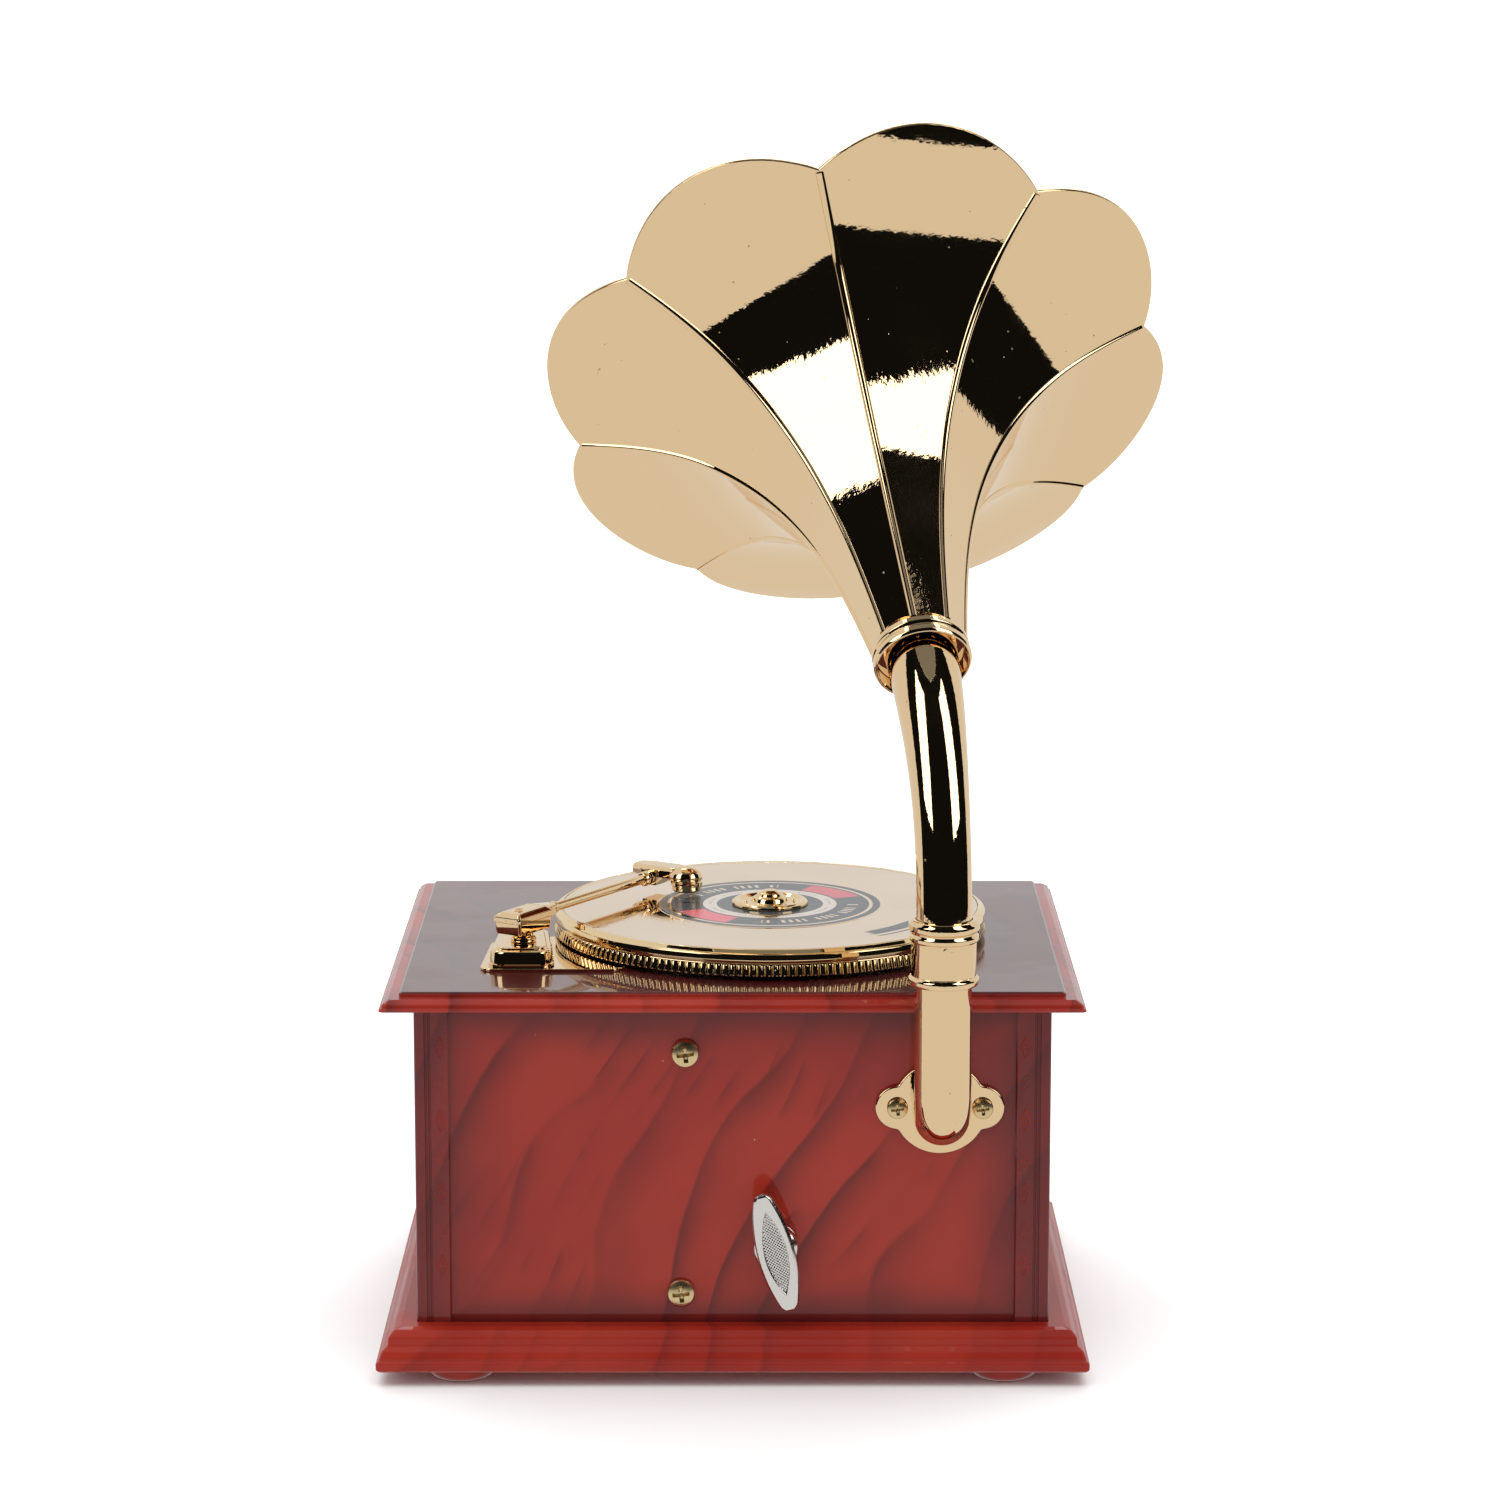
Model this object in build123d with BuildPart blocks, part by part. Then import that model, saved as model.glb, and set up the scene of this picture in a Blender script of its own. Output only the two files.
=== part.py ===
"""Wind-up music box shaped like a horn gramophone, in millimetres.

Z is up and the feet stand on z = 0. The winding key and the horn's post are at the back, towards -Y, and the
horn opens towards +Y. The origin lies under the middle of the whole object, and the case stands off it by
CASE_X and CASE_Y. Places in the case are given from the case's own centre.
"""

from build123d import *
import os
from math import acos, atan2, cos, degrees, hypot, pi, radians, sin, tan

os.makedirs("parts", exist_ok=True)

# ---- Driving dimensions -------------------------------------------------------------------------------------

CASE_X = -9.6
CASE_Y = 1.75

# Case
BODY_X = 121.0
BODY_Y = 96.4
WALL = 3.0
PANEL_RECESS = 1.0
PILASTER = 6.5
PILASTER_GROOVES = (2.2, 2.9)
DIAMOND_INSET = 4.9
DIAMOND_DROP = 6.2
DIAMOND_PITCH = 14.3
CORNER_POST = 11.0
CASE_SCREW_DEPTH = 14.0
FOOT_HEIGHT = 2.8
FOOT_RADIUS = 6.7
FOOT_INSET = 1.2
BODY_BOTTOM = 7.7
BASE_TOP = 10.7
LID_BOTTOM = 72.9
LID_TOP = 76.1
BASE_OVERHANG = 7.5
COVER_X = 90.0
COVER_Y = 66.0
COVER_THICK = 1.6
COVER_SCREW_INSET = 7.0
COVER_SCREW_SEAT = 0.9
BASE_FLOOR = 2.4
LID_SKIRT = 2.0

# Back wall
BACK_PANEL = -BODY_Y / 2 + PANEL_RECESS
BACK_INSIDE = -BODY_Y / 2 + WALL
MOVEMENT_SCREWS = ((-9.0, 63.5), (-9.9, 16.3))
SCREW_HEAD_RADIUS = 2.7
SCREW_RADIUS = 1.5
KEY_X = 8.2
KEY_Z = 26.2
KEY_TILT = 13.9
KEY_LENGTH = 25.5
KEY_WIDTH = 7.2
KEY_FACE = BACK_PANEL - 7.5

# Musical movement
BEDPLATE_THICK = 2.5
BED_FACE = BACK_INSIDE + BEDPLATE_THICK
ARBOR_RADIUS = 1.9
ARBOR_TIP_RADIUS = 1.2
RATCHET_TEETH = 20
RATCHET_RADIUS = 6.0
RATCHET_THICK = 1.2
SPRING_TURNS = 6
SPRING_THICK = 0.35
SPRING_WIDTH = 8.0
BARREL_WALL = 0.8
BARREL_RADIUS = 12.5
MODULE = 0.8
CROWN_TEETH = 28
CROWN_RADIUS = 11.5
CROWN_FACE = BED_FACE + 12.5
CROWN_TOOTH = 1.5
PINION_TEETH = 8
CYLINDER_TEETH = 20
IDLER_TEETH = 12
TABLE_TEETH = 28
CYLINDER_RADIUS = 6.5
CYLINDER_BOTTOM = 41.0
CYLINDER_ARBOR = 0.9
PIN_RADIUS = 0.2
PIN_REACH = 0.6
PINS_PER_NOTE = 4
COMB_NOTES = 18
COMB_PITCH = 1.35
COMB_LENGTH = 14.0
COMB_TOOTH = 7.6
COMB_GAP = 0.3
COMB_THICK = 1.0
COMB_SCREW_SPACING = 16.0
CYLINDER_Y = CROWN_FACE - CROWN_TOOTH / 2 + MODULE * PINION_TEETH / 2 + CROWN_TOOTH
GEAR_BOTTOM = 66.9
GEAR_THICK = 1.5
IDLER_POST = 1.2
RUNNING_FIT = 0.05
WORM_TEETH = 20
WORM_MODULE = 0.38
WORM_RADIUS = 1.3
GOVERNOR_STEM = 0.7
FLY_SPINDLE = 0.6
FLY_Z = 62.0

# Turntable
TABLE_X = 7.25
TABLE_Y = 0.5
TABLE_RADIUS = 43.0
KNURL_BOTTOM = 77.15
KNURL_TOP = 79.4
BEAD_HEIGHT = 80.5
RECORD_TOP = 82.1
RECORD_RADIUS = 41.3
RECORD_THICK = 0.8
KNURL_TEETH = 180
HUB_RADIUS = 7.6
SHAFT_RADIUS = 2.0

# Tonearm
PIVOT_X = -40.6
PIVOT_Y = -25.2
ARM_HEADING = 57.6
ARM_HEIGHT = 85.0
ARM_RADIUS = 0.95
ARM_STEM = 1.2
ARM_TUBE_START = 9.2
HEAD_START = 41.5
ARM_LENGTH = 44.0
TURRET_TOP = 80.3
DECK_THICK = 0.6

# Horn and its post
POST_X = 39.4
POST_Y = -60.3
POST_RADIUS = 5.35
POST_BORE = 3.5
SPIGOT_RADIUS = 3.0
ELBOW_Z = 53.0
ELBOW_BEND = 6.0
COLLAR_BOTTOM = 80.0
COLLAR_TOP = 92.5
COLLAR_RADIUS = 6.1
POST_TOP = 84.0
BRACKET_THICK = 1.2
EAR_REACH = 8.1
HORN_X = 35.7
HORN_Y = -38.0
HORN_Z = 138.2
HORN_ELEVATION = 36.0
HORN_HEADING = -9.4
HORN_ROLL = -14.8
HORN_WALL = 1.1
GORES = 8
HORN_NECK = 8.3
HORN_RING_BORE = 8.7
SLEEVE_RADIUS = 7.5
NECK_TUBE_TOP = 6.9
NECK_SHOULDER = 0.2
GORE_START = 2.0
NOTCH_RADIUS = 57.5
PETAL_RADIUS = 63.7
PETAL_LENGTH = 80.5


# ---- Planes and shapes used by many pieces ------------------------------------------------------------------


def flat(x, y, z):
    """Horizontal plane at a point given from the case's centre and the floor."""
    return Plane(origin=(CASE_X + x, CASE_Y + y, z))


def upright(x, y, z):
    """Upright plane that faces the back, with x to the right and y up."""
    return Plane(origin=(CASE_X + x, CASE_Y + y, z), x_dir=(1, 0, 0), z_dir=(0, -1, 0))


def turn(plane, outline, mode=Mode.ADD):
    """Revolve an outline of (radius, height) corners about the plane's y axis."""
    with BuildSketch(plane) as section:
        with BuildLine():
            Polyline(*outline, close=True)
        make_face()
    revolve(section.sketch, axis=Axis(plane.origin, plane.y_dir), mode=mode)


def moulding(corners):
    """Add a block with mitred corners, from the (overhang, height) corners of its edge."""
    middle = flat(0, 0, 0).origin
    sides = (
        (BODY_X / 2, Plane(middle, x_dir=(1, 0, 0), z_dir=(0, -1, 0)), Mode.ADD),
        (BODY_Y / 2, Plane(middle, x_dir=(0, 1, 0), z_dir=(1, 0, 0)), Mode.INTERSECT),
    )
    for half, plane, mode in sides:
        right = [(half + out, height) for out, height in corners]
        left = [(-x, height) for x, height in reversed(right)]
        with BuildSketch(plane) as section:
            with BuildLine():
                Polyline(*right, *left, close=True)
            make_face()
        extrude(section.sketch, amount=BODY_X, both=True, mode=mode)


def ovolo(start, end, steps=6):
    """Corners of a quarter-round moulding that falls from one (overhang, height) to another."""
    out = end[0] - start[0]
    drop = start[1] - end[1]
    angles = [radians(90 * step / steps) for step in range(steps + 1)]
    return [(start[0] + out * sin(a), end[1] + drop * cos(a)) for a in angles]


def gear_outline(teeth, module, thinning=0.22):
    """Corners of a spur gear with involute flanks, one tooth on the x axis."""
    pitch = module * teeth / 2
    base = pitch * cos(radians(20))
    tip = pitch + 0.9 * module
    root = pitch - 1.15 * module
    half_tooth = (pi * module / 2 - thinning * module) / 2 / pitch
    involute_at_pitch = tan(radians(20)) - radians(20)
    flank = []
    for step in range(5):
        radius = max(base, root) + (tip - max(base, root)) * step / 4
        pressure = acos(min(1.0, base / radius))
        flank.append((radius, half_tooth + involute_at_pitch - (tan(pressure) - pressure)))
    flank.insert(0, (root, flank[0][1]))
    corners = []
    for tooth in range(teeth):
        middle = 2 * pi * tooth / teeth
        corners += [(r * cos(middle - a), r * sin(middle - a)) for r, a in flank]
        corners += [(r * cos(middle + a), r * sin(middle + a)) for r, a in reversed(flank)]
    return corners


def spur_gear(plane, teeth, module, thick, bore):
    """Add a spur gear that lies on a plane, one tooth on the plane's x axis."""
    with BuildSketch(plane) as face:
        with BuildLine():
            Polyline(*gear_outline(teeth, module), close=True)
        make_face()
        Circle(bore, mode=Mode.SUBTRACT)
    extrude(face.sketch, amount=thick)


def pan_screw(plane, head_radius, head_height, shank_radius, shank_length):
    """Add a pan head cross-recess screw whose head stands out of a plane."""
    axial = Plane(plane.origin, x_dir=plane.x_dir, z_dir=plane.x_dir.cross(plane.z_dir))
    crown = head_radius * 0.72
    outline = [(0, -shank_length), (shank_radius, -shank_length), (shank_radius, 0), (head_radius, 0)]
    outline += [(head_radius, head_height * 0.35), (head_radius * 0.93, head_height * 0.68)]
    outline += [(crown, head_height * 0.92), (0, head_height)]
    turn(axial, outline)
    with BuildSketch(plane.offset(head_height * 0.4)) as recess:
        Rectangle(head_radius * 1.15, head_radius * 0.3)
        Rectangle(head_radius * 0.3, head_radius * 1.15)
    extrude(recess.sketch, amount=head_height, mode=Mode.SUBTRACT)


def save(part, name):
    """Label a finished piece and write it as a STEP file."""
    part.part.label = name
    export_step(part.part, f"parts/{name}.step")


# ---- Case ---------------------------------------------------------------------------------------------------

inside_x = BODY_X - 2 * WALL
inside_y = BODY_Y - 2 * WALL
post_x = inside_x / 2 - CORNER_POST / 2
post_y = inside_y / 2 - CORNER_POST / 2
panel_height = LID_BOTTOM - BASE_TOP

with BuildPart() as case_body:
    with BuildSketch(flat(0, 0, BODY_BOTTOM)):
        Rectangle(BODY_X, BODY_Y)
    extrude(amount=LID_BOTTOM - BODY_BOTTOM)
    fillet(case_body.edges().filter_by(Axis.Z), 0.6)
    with BuildSketch(flat(0, 0, BASE_TOP)):
        with GridLocations(0, BODY_Y, 1, 2):
            Rectangle(BODY_X - 2 * PILASTER, 2 * PANEL_RECESS)
        with GridLocations(BODY_X, 0, 2, 1):
            Rectangle(2 * PANEL_RECESS, BODY_Y - 2 * PILASTER)
    extrude(amount=panel_height, mode=Mode.SUBTRACT)
    # Two fine grooves run up each face of each pilaster, beside its embossed strip.
    with BuildSketch(flat(0, 0, BASE_TOP)):
        for from_corner in PILASTER_GROOVES:
            with GridLocations(BODY_X - 2 * from_corner, BODY_Y, 2, 2):
                Rectangle(0.3, 0.5)
            with GridLocations(BODY_X, BODY_Y - 2 * from_corner, 2, 2):
                Rectangle(0.5, 0.3)
    extrude(amount=panel_height, mode=Mode.SUBTRACT)
    with BuildSketch(flat(0, 0, BODY_BOTTOM)):
        Rectangle(inside_x, inside_y)
        with GridLocations(2 * post_x, 2 * post_y, 2, 2):
            Rectangle(CORNER_POST, CORNER_POST, mode=Mode.SUBTRACT)
    extrude(amount=LID_BOTTOM - BODY_BOTTOM, mode=Mode.SUBTRACT)
    with BuildSketch(flat(0, 0, BODY_BOTTOM)):
        with GridLocations(2 * post_x, 2 * post_y, 2, 2):
            Circle(1.25)
    extrude(amount=CASE_SCREW_DEPTH, mode=Mode.SUBTRACT)
    with BuildSketch(upright(0, -BODY_Y / 2, 0)):
        with Locations(*MOVEMENT_SCREWS):
            Circle(SCREW_RADIUS + 0.1)
        with Locations((KEY_X, KEY_Z)):
            Circle(2.6)
        with Locations((POST_X, ELBOW_Z)):
            Circle(SPIGOT_RADIUS + RUNNING_FIT)
        with Locations((POST_X - EAR_REACH, ELBOW_Z), (POST_X + EAR_REACH, ELBOW_Z)):
            Circle(1.0)
    extrude(amount=-WALL, mode=Mode.SUBTRACT)
    # Embossed diamonds stand on every pilaster face, at an even pitch.
    diamonds = []
    for row in range(4):
        height = LID_BOTTOM - DIAMOND_DROP - DIAMOND_PITCH * row
        diamonds += [(DIAMOND_INSET - BODY_X / 2, height), (BODY_X / 2 - DIAMOND_INSET, height)]
    for face in (-1, 1):
        with BuildSketch(upright(0, face * BODY_Y / 2, 0)) as lozenges:
            with Locations(*diamonds):
                RegularPolygon(1.9, 4)
                RegularPolygon(1.2, 4, mode=Mode.SUBTRACT)
                RegularPolygon(0.7, 4)
        extrude(lozenges.sketch, amount=0.25, both=True)
save(case_body, "case_body")

screw_x = COVER_X - COVER_SCREW_INSET
screw_y = COVER_Y - COVER_SCREW_INSET

with BuildPart() as base_plinth:
    base_edge = [(BASE_OVERHANG - 0.4, FOOT_HEIGHT), (BASE_OVERHANG, FOOT_HEIGHT + 0.4)]
    base_edge += [(BASE_OVERHANG, FOOT_HEIGHT + 1.8), (BASE_OVERHANG - 0.4, FOOT_HEIGHT + 2.2)]
    base_edge += [(6.9, FOOT_HEIGHT + 2.2), (6.9, FOOT_HEIGHT + 2.6)]
    base_edge += list(reversed(ovolo((5.3, 7.4), (6.9, FOOT_HEIGHT + 2.6))))[1:]
    base_edge += [(5.3, 7.8)]
    base_edge += list(reversed(ovolo((3.0, BASE_TOP), (5.3, 7.8))))[1:]
    moulding(base_edge)
    with BuildSketch(flat(0, 0, BODY_BOTTOM)):
        Rectangle(BODY_X, BODY_Y)
    extrude(amount=BASE_TOP - BODY_BOTTOM, mode=Mode.SUBTRACT)
    with BuildSketch(flat(0, 0, FOOT_HEIGHT + BASE_FLOOR)):
        Rectangle(inside_x - 5, inside_y - 5)
    extrude(amount=BASE_TOP, mode=Mode.SUBTRACT)
    with BuildSketch(flat(0, 0, FOOT_HEIGHT + BASE_FLOOR)):
        with GridLocations(2 * post_x, 2 * post_y, 2, 2):
            Circle(4.0)
        with GridLocations(screw_x, screw_y, 2, 2):
            Circle(3.0)
    extrude(amount=BODY_BOTTOM - FOOT_HEIGHT - BASE_FLOOR)
    with BuildSketch(flat(0, 0, FOOT_HEIGHT)):
        Rectangle(COVER_X, COVER_Y)
    extrude(amount=COVER_THICK, mode=Mode.SUBTRACT)
    with BuildSketch(flat(0, 0, FOOT_HEIGHT)):
        Rectangle(COVER_X - 16, COVER_Y - 16)
    extrude(amount=BASE_FLOOR, mode=Mode.SUBTRACT)
    with BuildSketch(flat(0, 0, FOOT_HEIGHT)):
        with GridLocations(2 * post_x, 2 * post_y, 2, 2):
            Circle(1.7)
        with GridLocations(screw_x, screw_y, 2, 2):
            Circle(1.0)
    extrude(amount=BODY_BOTTOM, mode=Mode.SUBTRACT)
save(base_plinth, "base_plinth")

with BuildPart() as bottom_cover:
    with BuildSketch(flat(0, 0, FOOT_HEIGHT)):
        RectangleRounded(COVER_X - 0.4, COVER_Y - 0.4, 1.0)
        with GridLocations(screw_x, screw_y, 2, 2):
            Circle(1.2, mode=Mode.SUBTRACT)
    extrude(amount=COVER_THICK)
    with BuildSketch(flat(0, 0, FOOT_HEIGHT)):
        with GridLocations(screw_x, screw_y, 2, 2):
            Circle(2.3)
    extrude(amount=COVER_SCREW_SEAT, mode=Mode.SUBTRACT)
save(bottom_cover, "bottom_cover")

with BuildPart() as cover_screws:
    seat = FOOT_HEIGHT + COVER_SCREW_SEAT
    screw = [(0, seat + 4.2), (0.95, seat + 4.2), (0.95, seat)]
    screw += [(2.1, seat), (2.1, seat - 0.8), (0, seat - 0.8)]
    for sx in (-1, 1):
        for sy in (-1, 1):
            turn(upright(sx * screw_x / 2, sy * screw_y / 2, 0), screw)
save(cover_screws, "cover_screws")

with BuildPart() as case_screws:
    seat = FOOT_HEIGHT + BASE_FLOOR - 0.8
    head = FOOT_HEIGHT + 0.3
    screw = [(0, 20), (1.2, 20), (1.2, seat), (1.6, seat), (1.6, head), (0, head)]
    for sx in (-1, 1):
        for sy in (-1, 1):
            turn(upright(sx * post_x, sy * post_y, 0), screw)
save(case_screws, "case_screws")

foot_y = BODY_Y / 2 + BASE_OVERHANG - FOOT_INSET - FOOT_RADIUS
with BuildPart() as feet:
    flat_part = 0.62 * FOOT_RADIUS
    round_part = FOOT_RADIUS - flat_part
    dome = [(0, 0), (flat_part, 0)]
    for angle in range(15, 91, 15):
        dome.append((flat_part + round_part * sin(radians(angle)), 2.0 * (1 - cos(radians(angle)))))
    dome += [(FOOT_RADIUS, FOOT_HEIGHT), (0, FOOT_HEIGHT)]
    for sx in (-1, 1):
        for sy in (-1, 1):
            turn(upright(sx * post_x, sy * foot_y, 0), dome)
save(feet, "feet")

with BuildPart() as lid:
    lid_edge = [(6.1, LID_BOTTOM), (6.1, LID_BOTTOM + 0.6)]
    lid_edge += list(reversed(ovolo((4.3, LID_TOP - 1.0), (5.9, LID_BOTTOM + 0.6))))
    lid_edge += [(2.5, LID_TOP - 1.0), (2.5, LID_TOP - 0.3), (2.2, LID_TOP)]
    moulding(lid_edge)
    with BuildSketch(flat(0, 0, LID_BOTTOM - LID_SKIRT)):
        Rectangle(inside_x - 0.4, inside_y - 0.4)
        Rectangle(inside_x - 4.4, inside_y - 4.4, mode=Mode.SUBTRACT)
        with GridLocations(2 * post_x, 2 * post_y, 2, 2):
            Rectangle(CORNER_POST + 0.8, CORNER_POST + 0.8, mode=Mode.SUBTRACT)
    extrude(amount=LID_SKIRT)
    with BuildSketch(flat(0, 0, LID_BOTTOM)):
        with Locations((TABLE_X, TABLE_Y)):
            Circle(4.0)
        with Locations((PIVOT_X, PIVOT_Y)):
            Circle(1.6)
    extrude(amount=LID_TOP - LID_BOTTOM, mode=Mode.SUBTRACT)
save(lid, "lid")

# ---- Musical movement ---------------------------------------------------------------------------------------

cylinder_x = KEY_X
gear_centres = hypot(TABLE_X - cylinder_x, TABLE_Y - CYLINDER_Y)
cylinder_pitch = MODULE * CYLINDER_TEETH / 2
idler_pitch = MODULE * IDLER_TEETH / 2
table_pitch = MODULE * TABLE_TEETH / 2
near_side = cylinder_pitch + idler_pitch
far_side = idler_pitch + table_pitch
line_angle = atan2(TABLE_Y - CYLINDER_Y, TABLE_X - cylinder_x)
opening = acos((near_side**2 + gear_centres**2 - far_side**2) / (2 * near_side * gear_centres))
idler_angle = line_angle + opening
idler_x = cylinder_x + near_side * cos(idler_angle)
idler_y = CYLINDER_Y + near_side * sin(idler_angle)
table_angle = atan2(TABLE_Y - idler_y, TABLE_X - idler_x)
governor_x = cylinder_x + cylinder_pitch + MODULE * PINION_TEETH / 2


def mesh_turn(angle, turned, teeth, teeth_next):
    """Turn in degrees that puts a gear's gap opposite the tooth of the gear before it."""
    phase = (angle - turned) * teeth / (2 * pi)
    return degrees(angle + pi + (phase + 0.5) * 2 * pi / teeth_next)


idler_turn = mesh_turn(idler_angle, 0.0, CYLINDER_TEETH, IDLER_TEETH)
table_turn = mesh_turn(table_angle, radians(idler_turn), IDLER_TEETH, TABLE_TEETH)
governor_turn = mesh_turn(0.0, 0.0, CYLINDER_TEETH, PINION_TEETH)

with BuildPart() as bedplate:
    with BuildSketch(upright(0, BACK_INSIDE, 0)):
        with Locations((4, 40.5)):
            RectangleRounded(40, 59, 2)
        with Locations(*MOVEMENT_SCREWS):
            Circle(SCREW_RADIUS + 0.02, mode=Mode.SUBTRACT)
        with Locations((KEY_X, KEY_Z)):
            Circle(ARBOR_RADIUS + RUNNING_FIT, mode=Mode.SUBTRACT)
    extrude(amount=-BEDPLATE_THICK)
save(bedplate, "movement_bedplate")

with BuildPart() as movement_screws:
    for x, z in MOVEMENT_SCREWS:
        pan_screw(upright(x, BACK_PANEL, z), SCREW_HEAD_RADIUS, 1.8, SCREW_RADIUS, 4.4)
save(movement_screws, "movement_screws")

with BuildPart() as winding_arbor:
    arbor = [(0, KEY_FACE + 3.2), (ARBOR_RADIUS, KEY_FACE + 3.2), (ARBOR_RADIUS, CROWN_FACE - 1.2)]
    arbor += [(ARBOR_TIP_RADIUS, CROWN_FACE - 1.2), (ARBOR_TIP_RADIUS, CROWN_FACE + 0.6)]
    arbor += [(0, CROWN_FACE + 0.6)]
    turn(flat(KEY_X, 0, KEY_Z), arbor)
save(winding_arbor, "winding_arbor")

with BuildPart() as ratchet_wheel:
    ratchet = []
    for tooth in range(RATCHET_TEETH):
        tip = 2 * pi * tooth / RATCHET_TEETH
        gullet = tip + radians(1)
        ratchet.append((RATCHET_RADIUS * cos(tip), RATCHET_RADIUS * sin(tip)))
        ratchet.append(((RATCHET_RADIUS - 0.8) * cos(gullet), (RATCHET_RADIUS - 0.8) * sin(gullet)))
    with BuildSketch(upright(KEY_X, BED_FACE + 0.2, KEY_Z)) as face:
        with BuildLine():
            Polyline(*ratchet, close=True)
        make_face()
        Circle(ARBOR_RADIUS, mode=Mode.SUBTRACT)
    extrude(face.sketch, amount=-RATCHET_THICK)
save(ratchet_wheel, "ratchet_wheel")

with BuildPart() as click:
    with BuildSketch(upright(KEY_X, BED_FACE + 0.2, KEY_Z)) as face:
        with BuildLine():
            Polyline((-6.25, 0.1), (-9.2, 6.5), (-11.4, 6.5), (-10.6, 3.4), (-6.6, -0.5), close=True)
        make_face()
    extrude(face.sketch, amount=-RATCHET_THICK)
    with BuildSketch(upright(KEY_X - 10.2, BED_FACE, KEY_Z + 5.6)) as rivet:
        Circle(1.0)
    extrude(rivet.sketch, amount=-1.5)
save(click, "ratchet_click")

with BuildPart() as spring_barrel:
    back = BED_FACE + 1.7
    open_end = CROWN_FACE - 1.0
    bore = ARBOR_RADIUS + RUNNING_FIT
    hollow = BARREL_RADIUS - BARREL_WALL
    cup = [(bore, back), (BARREL_RADIUS, back), (BARREL_RADIUS, open_end)]
    cup += [(hollow, open_end), (hollow, back + BARREL_WALL), (bore, back + BARREL_WALL)]
    turn(flat(KEY_X, 0, KEY_Z), cup)
save(spring_barrel, "spring_barrel")

crown_pitch = 2 * pi * CROWN_RADIUS / CROWN_TEETH
with BuildPart() as crown_tooth:
    with BuildSketch(flat(KEY_X, 0, KEY_Z + CROWN_RADIUS - 1.0)) as flank:
        with Locations((0, CROWN_FACE + CROWN_TOOTH / 2)):
            Trapezoid(0.42 * crown_pitch, CROWN_TOOTH, 72, rotation=0)
    extrude(flank.sketch, amount=1.9)

with BuildPart() as barrel_cover:
    bore = ARBOR_TIP_RADIUS + RUNNING_FIT
    disc = [(bore, open_end), (BARREL_RADIUS, open_end), (BARREL_RADIUS, CROWN_FACE), (bore, CROWN_FACE)]
    turn(flat(KEY_X, 0, KEY_Z), disc)
    spin = Axis((CASE_X + KEY_X, CASE_Y, KEY_Z), (0, 1, 0))
    for tooth in range(CROWN_TEETH):
        add(crown_tooth.part.rotate(spin, 360 * tooth / CROWN_TEETH))
save(barrel_cover, "barrel_crown_gear")

with BuildPart() as mainspring:
    inner_coil = 3.2
    outer_coil = BARREL_RADIUS - 1.6
    coil = []
    for step in range(SPRING_TURNS * 16 + 1):
        share = step / (SPRING_TURNS * 16)
        radius = inner_coil + (outer_coil - inner_coil) * share
        heading = 2 * pi * SPRING_TURNS * share
        coil.append((radius * cos(heading), radius * sin(heading)))
    with BuildSketch(upright(KEY_X, BED_FACE + 2.9, KEY_Z)) as strip:
        with BuildLine() as centre:
            Spline(*coil)
        trace(centre.line, line_width=SPRING_THICK)
    extrude(strip.sketch, amount=-SPRING_WIDTH)
save(mainspring, "mainspring")

with BuildPart() as cylinder_arbor:
    shaft = [(0, 35.8), (CYLINDER_ARBOR, 35.8), (CYLINDER_ARBOR, 70.4), (0, 70.4)]
    turn(upright(cylinder_x, CYLINDER_Y, 0), shaft)
save(cylinder_arbor, "cylinder_arbor")

with BuildPart() as cylinder_pinion:
    pinion_z = KEY_Z + CROWN_RADIUS - 1.2
    pinion_plane = flat(cylinder_x, CYLINDER_Y, pinion_z).rotated((0, 0, 67.5))
    spur_gear(pinion_plane, PINION_TEETH, MODULE, 2.3, CYLINDER_ARBOR)
save(cylinder_pinion, "cylinder_pinion")

cylinder_top = GEAR_BOTTOM - 0.2
first_note = CYLINDER_BOTTOM + 1.4
with BuildPart() as pin_cylinder:
    drum = [(CYLINDER_ARBOR, CYLINDER_BOTTOM), (CYLINDER_RADIUS, CYLINDER_BOTTOM)]
    drum += [(CYLINDER_RADIUS, cylinder_top), (CYLINDER_ARBOR, cylinder_top)]
    turn(upright(cylinder_x, CYLINDER_Y, 0), drum)
    for note in range(COMB_NOTES):
        for place in range(PINS_PER_NOTE):
            heading = radians((note * 67 + place * 101 + note * place * 23) % 360)
            pin_plane = Plane(
                origin=(CASE_X + cylinder_x, CASE_Y + CYLINDER_Y, first_note + COMB_PITCH * note),
                z_dir=(cos(heading), sin(heading), 0),
            )
            with BuildSketch(pin_plane.offset(CYLINDER_RADIUS - 0.4)) as pin:
                Circle(PIN_RADIUS)
            extrude(pin.sketch, amount=PIN_REACH + 0.4)
save(pin_cylinder, "pin_cylinder")

with BuildPart() as cylinder_gear:
    spur_gear(flat(cylinder_x, CYLINDER_Y, GEAR_BOTTOM), CYLINDER_TEETH, MODULE, GEAR_THICK, CYLINDER_ARBOR)
save(cylinder_gear, "cylinder_gear")

with BuildPart() as cylinder_bearings:
    for height in (39.5, 68.9):
        with BuildSketch(flat(cylinder_x, 0, height)) as arm:
            with Locations((0, (BED_FACE + CYLINDER_Y) / 2)):
                Rectangle(8, CYLINDER_Y - BED_FACE)
            with Locations((0, CYLINDER_Y)):
                Circle(4.0)
                Circle(CYLINDER_ARBOR + RUNNING_FIT, mode=Mode.SUBTRACT)
        extrude(arm.sketch, amount=1.0)
save(cylinder_bearings, "cylinder_bearings")

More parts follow.
